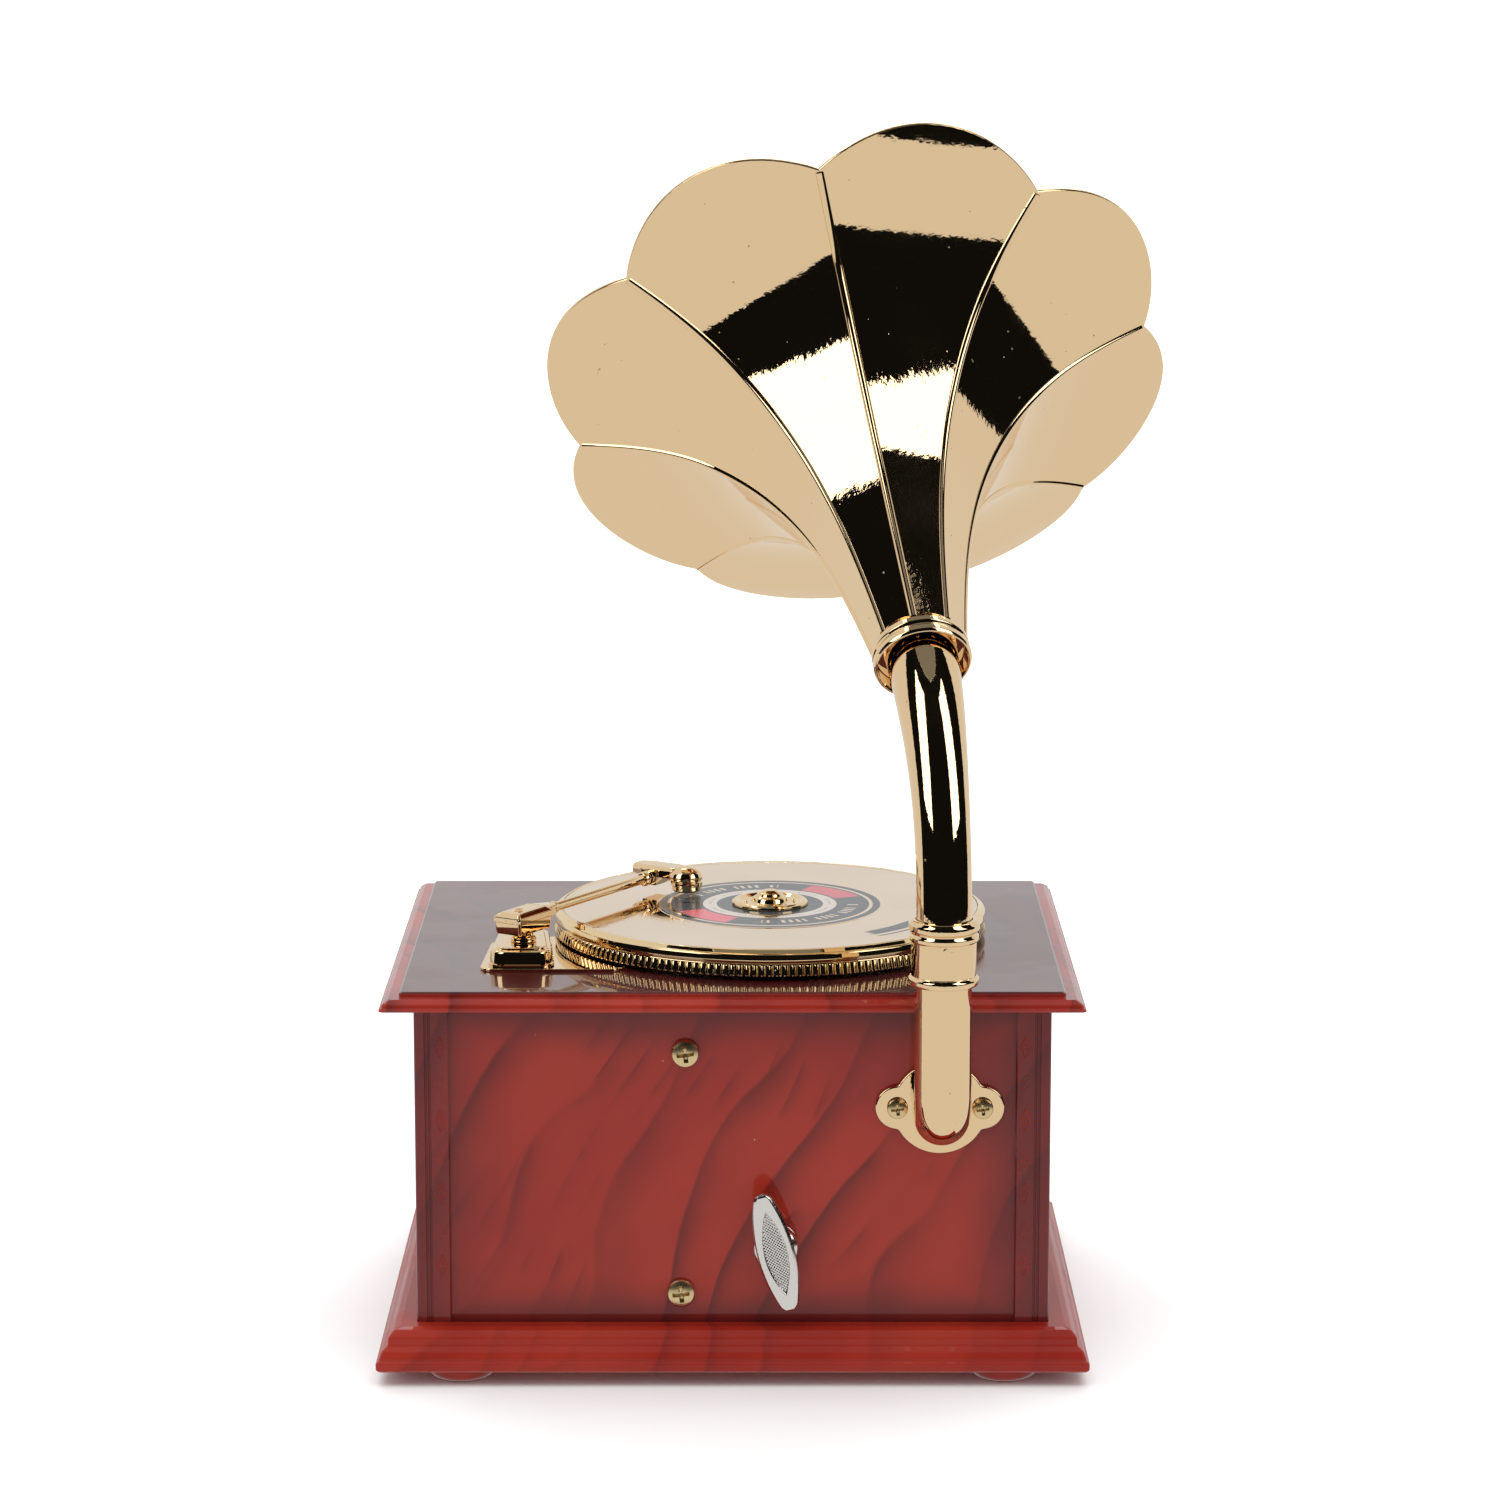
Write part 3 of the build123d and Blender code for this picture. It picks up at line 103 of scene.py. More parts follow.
class Shape:
    """Points in millimetres and the faces between them, gathered before they become one mesh."""

    def __init__(self):
        self.points = []
        self.faces = []

    def grid(self, rows, around=False, along=False, caps=False):
        """Join rows of points; around closes each row, along joins last to first, caps fill the ends."""
        rows = np.asarray(rows, float)
        count, width = rows.shape[:2]
        start = len(self.points)
        self.points.extend(map(tuple, rows.reshape(-1, 3)))
        for i in range(count if along else count - 1):
            a = start + i * width
            b = start + (i + 1) % count * width
            for j in range(width if around else width - 1):
                k = (j + 1) % width
                self.faces.append((a + j, a + k, b + k, b + j))
        if caps:
            self.faces.append(tuple(start + j for j in reversed(range(width))))
            self.faces.append(tuple(start + (count - 1) * width + j for j in range(width)))

    def lathe(self, outline, origin, axis=(0, 0, 1), steps=128):
        """Turn an outline of (radius, height) points about an axis through origin."""
        across, other, along = basis(axis)
        angles = np.linspace(0, 2 * math.pi, steps, endpoint=False)
        ring = np.outer(np.cos(angles), across) + np.outer(np.sin(angles), other)
        rows = [np.array(origin) + radius * ring + height * along for radius, height in outline]
        self.grid(rows, around=True)

    def tube(self, path, radii, steps=32, caps=True, side=None):
        """Sweep a circle along a path, with a radius for each point; side is square to its start."""
        path = np.asarray(path, float)
        radii = np.broadcast_to(radii, len(path))
        tangents = np.gradient(path, axis=0)
        tangents /= np.linalg.norm(tangents, axis=1)[:, None]
        side = basis(tangents[0])[0] if side is None else np.array(side, float)
        angles = np.linspace(0, 2 * math.pi, steps, endpoint=False)
        rows = []
        for point, tangent, radius in zip(path, tangents, radii):
            side = side - tangent * (side @ tangent)
            side /= np.linalg.norm(side)
            up = np.cross(tangent, side)
            rows.append(point + radius * (np.outer(np.cos(angles), side) + np.outer(np.sin(angles), up)))
        self.grid(rows, around=True, caps=caps)

    def slab(self, outline, origin, thick, x_axis=(1, 0, 0), z_axis=(0, 0, 1)):
        """Raise a flat outline into a plate that starts at origin."""
        x_axis, z_axis = np.array(x_axis, float), np.array(z_axis, float)
        y_axis = np.cross(z_axis, x_axis)
        loop = np.array([np.array(origin) + x * x_axis + y * y_axis for x, y in outline])
        self.grid([loop, loop + thick * z_axis], around=True, caps=True)


def basis(axis):
    """Two directions square to an axis, and the axis itself, all of unit length."""
    along = np.array(axis, float) / np.linalg.norm(axis)
    guide = np.array([1.0, 0, 0]) if abs(along[0]) < 0.9 else np.array([0, 1.0, 0])
    across = guide - along * (guide @ along)
    across /= np.linalg.norm(across)
    return across, np.cross(along, across), along


def rounded(corners, closed=False, turn_step=12):
    """Points along straight runs between (x, y, radius) corners, with an arc at each that has a radius."""
    points = []
    count = len(corners)
    for i, (x, y, radius) in enumerate(corners):
        here = np.array([x, y], float)
        if radius == 0 or (not closed and i in (0, count - 1)):
            points.append(tuple(here))
            continue
        before = np.array(corners[i - 1][:2], float) - here
        after = np.array(corners[(i + 1) % count][:2], float) - here
        len_before, len_after = np.linalg.norm(before), np.linalg.norm(after)
        before /= len_before
        after /= len_after
        inner = math.acos(np.clip(before @ after, -1, 1))
        if math.pi - inner < 0.02:
            points.append(tuple(here))
            continue
        reach = min(radius / math.tan(inner / 2), 0.48 * len_before, 0.48 * len_after)
        radius = reach * math.tan(inner / 2)
        toward = before + after
        centre = here + toward / np.linalg.norm(toward) * radius / math.sin(inner / 2)
        start = here + before * reach - centre
        end = here + after * reach - centre
        sweep = math.atan2(start[0] * end[1] - start[1] * end[0], start @ end)
        steps = max(2, math.ceil(abs(math.degrees(sweep)) / turn_step))
        for step in range(steps + 1):
            a = sweep * step / steps
            points.append((
                centre[0] + start[0] * math.cos(a) - start[1] * math.sin(a),
                centre[1] + start[0] * math.sin(a) + start[1] * math.cos(a),
            ))
    return points


def smooth_curve(points, count):
    """Natural cubic spline through points, by chord length, at evenly spaced places."""
    points = np.asarray(points, float)
    steps = np.linalg.norm(np.diff(points, axis=0), axis=1)
    knots = np.concatenate([[0], np.cumsum(steps)])
    n = len(points)
    matrix = np.eye(n)
    right = np.zeros_like(points)
    for i in range(1, n - 1):
        matrix[i, i - 1 : i + 2] = steps[i - 1], 2 * (steps[i - 1] + steps[i]), steps[i]
        slope_after = (points[i + 1] - points[i]) / steps[i]
        slope_before = (points[i] - points[i - 1]) / steps[i - 1]
        right[i] = 6 * (slope_after - slope_before)
    bend = np.linalg.solve(matrix, right)
    places = np.linspace(0, knots[-1], count)
    spans = np.clip(np.searchsorted(knots, places, side="right") - 1, 0, n - 2)
    h = steps[spans][:, None]
    a = (knots[spans + 1] - places)[:, None] / h
    b = 1 - a
    curve = a * points[spans] + b * points[spans + 1]
    return curve + ((a**3 - a) * bend[spans] + (b**3 - b) * bend[spans + 1]) * h**2 / 6


def piece(name, shape, finish, body, replaces=(), origin=(0, 0, 0), bevel=0.0, sharp=38.0, flat=True):
    """Make one visible piece on a CAD body; bevel rounds its edges, sharp is the angle that stays an edge."""
    mesh = bpy.data.meshes.new(name)
    offset = np.array(origin, float)
    mesh.from_pydata([tuple((np.array(p) - offset) * MM) for p in shape.points], [], shape.faces)
    edit = bmesh.new()
    edit.from_mesh(mesh)
    bmesh.ops.remove_doubles(edit, verts=edit.verts, dist=2e-7)
    bmesh.ops.dissolve_degenerate(edit, edges=edit.edges, dist=1e-8)
    bmesh.ops.recalc_face_normals(edit, faces=edit.faces)
    for face in edit.faces:
        face.smooth = True
    for edge in edit.edges:
        if len(edge.link_faces) == 2 and math.degrees(edge.calc_face_angle(0)) > sharp:
            edge.smooth = False
    edit.to_mesh(mesh)
    edit.free()
    made = bpy.data.objects.new(name, mesh)
    SCENE.collection.objects.link(made)
    made.location = Vector(offset * MM)
    mesh.materials.append(MATERIALS[finish])
    if bevel:
        rounding = made.modifiers.new("rounded_edges", "BEVEL")
        rounding.width = bevel * MM
        rounding.segments = 3
        rounding.limit_method = "ANGLE"
        rounding.angle_limit = math.radians(sharp)
        for edge in mesh.edges:
            edge.use_edge_sharp = False
    if flat:
        shading = made.modifiers.new("flat_faces_shade_flat", "WEIGHTED_NORMAL")
        shading.keep_sharp = True
        shading.weight = 80
    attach(made, body)
    if replaces:
        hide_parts(*replaces)


# ---- Material helpers ----


class Nodes:
    """Short calls for building one material's node tree."""

    def __init__(self, name):
        self.material = bpy.data.materials.new(name)
        self.material.use_nodes = True
        self.tree = self.material.node_tree
        self.shader = self.tree.nodes["Principled BSDF"]
        self.place = self.add("ShaderNodeTexCoord").outputs["Object"]

    def add(self, kind, **settings):
        node = self.tree.nodes.new(kind)
        for key, value in settings.items():
            setattr(node, key, value)
        return node

    def link(self, source, target):
        self.tree.links.new(source, target)

    def put(self, value, socket):
        """Link a socket, or set a plain value."""
        if isinstance(value, bpy.types.NodeSocket):
            self.link(value, socket)
        else:
            socket.default_value = value

    def set(self, **values):
        """Set sockets of the shader by name, with _ for a space."""
        for name, value in values.items():
            self.put(value, self.shader.inputs[name.replace("_", " ")])

    def math(self, operation, first, second=0.0, third=0.0):
        node = self.add("ShaderNodeMath", operation=operation)
        for socket, value in zip(node.inputs, (first, second, third)):
            self.put(value, socket)
        return node.outputs[0]

    def times(self, first, second):
        return self.math("MULTIPLY", first, second)

    def highest(self, first, second):
        return self.math("MAXIMUM", first, second)

    def mapped(self, turn=(0, 0, 0), size=(1, 1, 1), shift=(0, 0, 0)):
        """Coordinates in a turned frame, measured in sizes given in metres."""
        node = self.add("ShaderNodeMapping", vector_type="TEXTURE")
        node.inputs["Location"].default_value = shift
        node.inputs["Rotation"].default_value = [math.radians(a) for a in turn]
        node.inputs["Scale"].default_value = size
        self.link(self.place, node.inputs["Vector"])
        return node.outputs[0]

    def noise(self, place=None, scale=1.0, detail=3.0, distortion=0.0):
        node = self.add("ShaderNodeTexNoise")
        self.link(place or self.place, node.inputs["Vector"])
        node.inputs["Scale"].default_value = scale
        node.inputs["Detail"].default_value = detail
        node.inputs["Distortion"].default_value = distortion
        return node.outputs["Fac"]

    def cells(self, scale):
        """Distance to the nearest of scattered points."""
        node = self.add("ShaderNodeTexVoronoi")
        self.link(self.place, node.inputs["Vector"])
        node.inputs["Scale"].default_value = scale
        return node.outputs["Distance"]

    def step(self, value, low, high, start=0.0, end=1.0):
        """Value carried smoothly from start at low to end at high."""
        node = self.add("ShaderNodeMapRange", interpolation_type="SMOOTHSTEP")
        for name, number in zip(("From Min", "From Max", "To Min", "To Max"), (low, high, start, end)):
            node.inputs[name].default_value = number
        self.put(value, node.inputs["Value"])
        return node.outputs[0]

    def mix(self, share, first, second):
        node = self.add("ShaderNodeMix", data_type="RGBA")
        self.put(share, node.inputs[0])
        for value, socket in ((first, node.inputs[6]), (second, node.inputs[7])):
            self.put((*value, 1) if isinstance(value, tuple) else value, socket)
        return node.outputs[2]

    def bump(self, height, depth, under=None):
        """Surface relief of a height from 0 to 1, depth in metres."""
        node = self.add("ShaderNodeBump")
        node.inputs["Distance"].default_value = depth
        self.link(height, node.inputs["Height"])
        if under is not None:
            self.link(under, node.inputs["Normal"])
        return node.outputs[0]


# ---- Materials ----

GOLD = (0.86, 0.635, 0.375)
GOLD_DEEP = (0.80, 0.55, 0.28)
CHERRY = (0.27, 0.016, 0.009)
CHERRY_DEEP = (0.060, 0.006, 0.006)
CHERRY_BRIGHT = (0.33, 0.024, 0.011)
CHERRY_EDGE = (0.085, 0.011, 0.012)
# Painted shade: darker colour for the lid's top face.
CHERRY_TOP_PAINTED_SHADE = (0.018, 0.006, 0.008)
FLECK = (0.75, 0.42, 0.33)
DUST = (0.30, 0.19, 0.09)
PRINT_GREY = (0.075, 0.085, 0.10)
PRINT_PINK = (0.72, 0.13, 0.17)
PRINT_CREAM = (0.86, 0.76, 0.66)


def plated_gold(name, ripple=1.0, tint=GOLD, roughness=0.015):
    """Vacuum-metallised plastic: a bright mirror with orange peel, dust and tiny pits."""
    n = Nodes(name)
    cloud = n.noise(scale=60, detail=2)
    deeper = tuple(0.96 * a + 0.04 * b for a, b in zip(tint, GOLD_DEEP))
    tone = n.mix(n.step(cloud, 0.35, 0.7), tint, deeper)
    dust = n.step(n.cells(260), 0.035, 0.055, 1.0, 0.0)
    grit = n.times(dust, n.step(n.noise(scale=75, detail=1), 0.50, 0.60))
    n.set(Base_Color=n.mix(n.times(grit, 0.7), tone, DUST), Metallic=1.0)
    clouded = n.step(cloud, 0.3, 0.8, roughness, roughness + 0.03)
    n.set(Roughness=n.math("ADD", n.times(grit, 0.3), clouded))
    fine = n.noise(scale=1100, detail=2)
    broad = n.noise(scale=190, detail=2)
    relief = n.bump(fine, 0.000008 * ripple)
    relief = n.bump(broad, 0.000028 * ripple, under=relief)
    n.set(Normal=n.bump(dust, 0.00002, under=relief))
    return n.material


COAT_WEIGHT = {"panel": 0.6, "lid": 0.9, "moulding": 0.3}
LINES_LEAN = np.array([0.84, 0.30, -0.50])


def feathered_lines(n, pitch, wander, power, seed):
    """Lines across a leaning direction, crisp on one side and feathered on the other; pitch in metres."""
    across = n.add("ShaderNodeVectorMath", operation="DOT_PRODUCT")
    n.link(n.place, across.inputs[0])
    across.inputs[1].default_value = LINES_LEAN / pitch
    broad = n.noise(n.mapped(size=(0.045, 0.06, 0.07), shift=(seed, 0, 0)), detail=1)
    small = n.noise(n.mapped(size=(0.010, 0.02, 0.02), shift=(0, 0, seed)), detail=2)
    place = n.math("MULTIPLY_ADD", broad, wander, across.outputs["Value"])
    place = n.math("MULTIPLY_ADD", small, 0.10, place)
    saw = n.math("FRACT", place)
    feather = n.math("POWER", n.math("SUBTRACT", 1.0, saw), power)
    return n.times(feather, n.step(saw, 0.0, 0.07))


def darker_edges(n, along, colour):
    """Carry a colour towards brown at the corners, top and bottom of the case's walls."""
    middle = np.array([*CASE_MIDDLE, (LID_LOW[2] + BASE_HIGH[2]) / 2]) * MM
    half = np.array([*CASE_HALF, (LID_LOW[2] - BASE_HIGH[2]) / 2 + 2]) * MM
    away = []
    for i in range(3):
        offset = n.math("ABSOLUTE", n.math("SUBTRACT", along[i], middle[i]))
        away.append(n.math("DIVIDE", offset, half[i]))
    edge = n.highest(n.math("MINIMUM", away[0], away[1]), away[2])
    wobble = n.math("MULTIPLY_ADD", n.noise(scale=40, detail=2), 0.22, edge)
    return n.mix(n.times(n.step(wobble, 0.78, 1.08), 0.78), colour, CHERRY_EDGE)


def cherry(name, part):
    """Glossy moulded plastic with a printed cherry-wood figure, for the panel, lid or moulding."""
    n = Nodes(name)
    split = n.add("ShaderNodeSeparateXYZ")
    n.link(n.place, split.inputs[0])
    present = n.step(n.noise(n.mapped(size=(0.03, 0.03, 0.05), shift=(0.4, 0, 0))), 0.36, 0.62, 0.25, 1.0)
    nested = n.step(n.noise(n.mapped(size=(0.04, 0.05, 0.03), shift=(0.09, 0, 0.02))), 0.50, 0.62)
    broad_lines = n.times(feathered_lines(n, 0.0140, 2.6, 3.6, 0.31), present)
    thin_lines = n.times(n.times(feathered_lines(n, 0.0052, 3.2, 3.0, 0.77), nested), 0.7)
    dark = n.highest(broad_lines, thin_lines)
    glow = n.step(n.noise(n.mapped((0, -50, 24), (0.06, 0.03, 0.025))), 0.35, 0.7)
    red = n.mix(glow, CHERRY, CHERRY_BRIGHT)
    colour = n.mix(n.times(dark, 0.45 if part == "moulding" else 0.93), red, CHERRY_DEEP)
    if part == "panel":
        colour = darker_edges(n, split.outputs, colour)
    # Painted shade: the lid's raised top face is darkened towards a deep brown-red.
    if part == "lid":
        raised = n.step(split.outputs[2], (LID_HIGH[2] - 0.5) * MM, (LID_HIGH[2] - 0.15) * MM)
        colour = n.mix(n.times(raised, 0.80), colour, CHERRY_TOP_PAINTED_SHADE)
    flecks = n.step(n.cells(170), 0.018, 0.03, 1.0, 0.0)
    speck = n.times(flecks, n.step(n.noise(scale=90, detail=0), 0.55, 0.6))
    n.set(Base_Color=n.mix(n.times(speck, 0.8), colour, FLECK))
    n.set(Roughness=n.step(glow, 0.3, 0.8, 0.32, 0.40), Specular_IOR_Level=0.12)
    n.set(Coat_Weight=COAT_WEIGHT[part], Coat_Roughness=0.035, Coat_IOR=1.5)
    swell = n.bump(n.noise(scale=110, detail=2), 0.000012)
    n.set(Normal=n.bump(speck, 0.00003, under=swell))
    return n.material


def chrome(name):
    """Bright nickel plate on the key, with faint polishing marks."""
    n = Nodes(name)
    marks = n.noise(n.mapped((0, 25, 0), (0.004, 0.0003, 0.0003)), detail=3)
    n.set(Base_Color=n.mix(marks, (0.72, 0.69, 0.65), (0.80, 0.775, 0.74)), Metallic=1.0)
    n.set(Roughness=n.step(marks, 0.3, 0.7, 0.10, 0.20))
    n.set(Normal=n.bump(marks, 0.000004))
    return n.material


def turned_metal(name, tones, roughness, grain=(0.0004, 0.0004, 0.004)):
    """Machined or rolled metal: two tones, tool marks along one direction, and smudges."""
    n = Nodes(name)
    marks = n.noise(n.mapped(size=grain), detail=3)
    smudge = n.noise(scale=260, detail=4, distortion=0.4)
    n.set(Base_Color=n.mix(n.step(smudge, 0.35, 0.7), *tones), Metallic=1.0)
    smudged = n.step(smudge, 0.3, 0.75, roughness, roughness + 0.12)
    n.set(Roughness=n.math("MULTIPLY_ADD", marks, 0.18, smudged))
    n.set(Normal=n.bump(marks, 0.00001))
    return n.material


def cast_zinc(name):
    """Die-cast zinc: matt grey with a sandy skin."""
    n = Nodes(name)
    skin = n.noise(scale=1400, detail=5)
    patch = n.noise(scale=120, detail=3)
    n.set(Base_Color=n.mix(n.step(patch, 0.35, 0.7), (0.34, 0.35, 0.37), (0.50, 0.51, 0.53)), Metallic=0.9)
    n.set(Roughness=n.step(skin, 0.3, 0.7, 0.36, 0.55), Normal=n.bump(skin, 0.00003))
    return n.material


def moulded_nylon(name, tone=(0.80, 0.79, 0.74)):
    """Injection-moulded nylon: off-white, faintly clouded, with a fine matt skin."""
    n = Nodes(name)
    cloud = n.noise(scale=180, detail=3)
    skin = n.noise(scale=2600, detail=3)
    deep = tuple(0.86 * c for c in tone)
    n.set(Base_Color=n.mix(n.step(cloud, 0.3, 0.7), tone, deep), Roughness=n.step(skin, 0.3, 0.7, 0.38, 0.52))
    n.set(Subsurface_Weight=0.15, Subsurface_Scale=0.001, Normal=n.bump(skin, 0.000012))
    return n.material


def printed_record(name):
    """Gold mirror disc with printed rings, tick marks and two pink segments round its hub."""
    n = Nodes(name)
    split = n.add("ShaderNodeSeparateXYZ")
    n.link(n.place, split.inputs[0])
    x, y = split.outputs[0], split.outputs[1]
    squares = n.math("ADD", n.times(x, x), n.times(y, y))
    radius = n.times(n.math("SQRT", squares), 1 / MM)
    angle = n.math("ARCTAN2", y, x)

    def ring(low, high, soft=0.06):
        rise = n.step(radius, low - soft, low + soft)
        fall = n.step(radius, high - soft, high + soft, 1.0, 0.0)
        return n.times(rise, fall)

    def ticks(count, share, turn=0.0):
        wave = n.math("SINE", n.math("MULTIPLY_ADD", angle, count, turn))
        return n.step(wave, share - 0.06, share + 0.06)

    def sector(centre, half):
        near = n.math("COSINE", n.math("SUBTRACT", angle, math.radians(centre)))
        limit = math.cos(math.radians(half))
        return n.step(near, limit - 0.006, limit + 0.006)

    grey = n.highest(ring(13.3, 19.8), n.highest(ring(20.5, 22.0), ring(7.0, 10.6)))
    pink = n.times(ring(13.9, 19.2), n.highest(sector(42, 21), sector(222, 21)))
    words = n.times(ring(15.4, 17.6), n.times(ticks(70, 0.1), ticks(14, -0.55, 0.7)))
    words = n.times(words, n.highest(sector(132, 48), sector(312, 48)))
    fine_words = n.times(ring(11.6, 12.2), n.times(ticks(110, 0.2), ticks(9, -0.4)))
    mark = n.times(n.highest(ring(31.0, 34.2), ring(35.2, 35.9)), sector(318, 12))
    ink = n.highest(grey, n.highest(mark, n.times(fine_words, 0.6)))
    ink = n.math("SUBTRACT", ink, words)
    cloud = n.noise(scale=45, detail=2)
    grooves = n.math("SINE", n.times(radius, 2 * math.pi / 0.42))
    band = n.times(ring(24.5, 39.5, 0.4), grooves)
    gold = n.mix(n.step(cloud, 0.3, 0.75), (0.86, 0.70, 0.52), (0.82, 0.65, 0.46))
    label = n.mix(ring(10.5, 13.4), gold, PRINT_CREAM)
    colour = n.mix(pink, n.mix(ink, label, PRINT_GREY), PRINT_PINK)
    printed = n.highest(ink, pink)
    n.set(Base_Color=colour, Metallic=n.math("SUBTRACT", 1.0, n.times(printed, 0.92)))
    scuff = n.noise(n.mapped((0, 0, 31), (0.03, 0.001, 1)), detail=3)
    n.set(Roughness=n.math("MULTIPLY_ADD", printed, 0.16, n.step(scuff, 0.4, 0.8, 0.045, 0.11)))
    relief = n.bump(band, 0.0000012)
    n.set(Normal=n.bump(n.noise(scale=170, detail=2), 0.000012, under=relief))
    return n.material


STEEL = ((0.50, 0.51, 0.53), (0.66, 0.67, 0.69))
BRASS = ((0.72, 0.51, 0.22), (0.84, 0.64, 0.32))
BLUED = ((0.16, 0.19, 0.27), (0.33, 0.36, 0.43))
GROUND = ((0.58, 0.59, 0.60), (0.72, 0.73, 0.74))
ZINC_PLATE = ((0.55, 0.56, 0.58), (0.70, 0.71, 0.72))
MATERIALS = {
    "gold": plated_gold("plated_gold"),
    "gold_smooth": plated_gold("plated_gold_smooth", ripple=0.45),
    "gold_rim": plated_gold("plated_gold_rim", ripple=0.5, tint=(0.88, 0.67, 0.38)),
    "gold_screws": plated_gold("plated_gold_screws", ripple=1.5, tint=(0.74, 0.58, 0.32), roughness=0.26),
    "panel": cherry("cherry_panel", "panel"),
    "lid": cherry("cherry_lid", "lid"),
    "moulding": cherry("cherry_moulding", "moulding"),
    "chrome": chrome("nickel_plate"),
    "record": printed_record("printed_record"),
    "steel": turned_metal("ground_steel", STEEL, 0.22),
    "brass": turned_metal("turned_brass", BRASS, 0.20),
    "spring_steel": turned_metal("blued_steel", BLUED, 0.26),
    "comb_steel": turned_metal("ground_comb", GROUND, 0.16, (0.004, 0.004, 0.0003)),
    "screw_steel": turned_metal("zinc_screws", ZINC_PLATE, 0.25, (0.002, 0.002, 0.002)),
    "zinc": cast_zinc("cast_zinc"),
    "nylon": moulded_nylon("white_nylon"),
    "cover": moulded_nylon("matt_red_cover", (0.10, 0.018, 0.013)),
}


# ---- Case ----

PANEL_RECESS = 1.0
WALL = 3.0
PILASTER = 6.5
GROOVES = (2.2, 2.9)
GROOVE_HALF = 0.16
GROOVE_DEPTH = 0.28
CORNER_ROUND = 0.7
FOOT_RADIUS = 6.7
DIAMOND_ROWS = 4
DIAMOND_PITCH = 14.3
DIAMOND_TOP = LID_LOW[2] - 6.2
DIAMOND_INSET = 4.9


def side_outline(half_length):
    """(along, inwards) corners of one side of the case in plan, from corner to corner."""
    corners = []
    for groove in GROOVES:
        corners += [(groove - GROOVE_HALF - 0.08, 0), (groove - GROOVE_HALF, GROOVE_DEPTH)]
        corners += [(groove + GROOVE_HALF, GROOVE_DEPTH), (groove + GROOVE_HALF + 0.08, 0)]
    corners += [(PILASTER - 0.12, 0), (PILASTER, 0.12), (PILASTER, PANEL_RECESS - 0.15)]
    corners += [(PILASTER + 0.15, PANEL_RECESS)]
    left = [(-half_length + along, inward) for along, inward in corners]
    right = [(half_length - along, inward) for along, inward in reversed(corners)]
    return left + right


def turned_point(x, y, quarter):
    """Point turned about the middle by a number of quarter turns."""
    a = math.radians(90 * quarter)
    return x * math.cos(a) - y * math.sin(a), x * math.sin(a) + y * math.cos(a)


def case_outline():
    """Plan of the case, anticlockwise, with small round corners."""
    points = []
    for quarter in range(4):
        half_length, half_depth = (CASE_HALF if quarter % 2 == 0 else CASE_HALF[::-1])
        straight = half_length - CORNER_ROUND
        for along, inward in [(-straight, 0)] + side_outline(half_length) + [(straight, 0)]:
            points.append(turned_point(along, -(half_depth - inward), quarter))
        for step in range(1, 4):
            b = math.radians(-90 + 90 * step / 4)
            x = straight + CORNER_ROUND * math.cos(b)
            y = -half_depth + CORNER_ROUND + CORNER_ROUND * math.sin(b)
            points.append(turned_point(x, y, quarter))
    return points


def case_shell():
    """The case's four walls, hollow, with grooved pilasters at the corners."""
    outer = np.array(case_outline())
    inner = np.clip(outer, WALL - CASE_HALF, CASE_HALF - WALL)
    low, high = CASE_LOW[2], CASE_HIGH[2]
    shape = Shape()
    rows = []
    for plan, z in ((outer, low), (outer, high), (inner, high), (inner, low)):
        rows.append([(x, y, z) for x, y in plan + CASE_MIDDLE])
    shape.grid(rows, around=True, along=True)
    piece("case_walls", shape, "panel", "case", ("case_body",), sharp=25)


def rectangle_loop(half_x, half_y, z, radius=0.45):
    """Rectangle with small round corners about the case's middle."""
    loop = []
    for quarter in range(4):
        sx = 1 if quarter in (0, 3) else -1
        sy = 1 if quarter in (0, 1) else -1
        for step in range(4):
            a = math.radians(90 * quarter + 30 * step)
            x = sx * (half_x - radius) + radius * math.cos(a)
            y = sy * (half_y - radius) + radius * math.sin(a)
            loop.append((CASE_MIDDLE[0] + x, CASE_MIDDLE[1] + y, z))
    return loop


def edge_loops(profile):
    """Loops round the case for the (overhang, height) points of a moulding."""
    return [rectangle_loop(CASE_HALF[0] + out, CASE_HALF[1] + out, z) for out, z in profile]


def moulded_lid():
    """Lid slab with its raised panel, a quarter round and a lip."""
    bottom, top = LID_LOW[2] + 2.0, LID_HIGH[2]
    profile = rounded([
        (-1.0, bottom, 0), (5.75, bottom, 0.15), (6.1, bottom + 0.2, 0.15), (6.1, bottom + 0.75, 0.2),
        (5.75, bottom + 0.8, 0.1), (5.55, bottom + 1.5, 0.8), (4.4, top - 1.0, 0.15), (2.6, top - 1.0, 0.12),
        (2.5, top - 0.85, 0), (2.5, top - 0.3, 0.3), (2.1, top, 0.25), (1.2, top, 0),
    ])
    shape = Shape()
    shape.grid(edge_loops(profile), around=True, caps=True)
    piece("lid_slab", shape, "lid", "case", ("lid",), sharp=50)


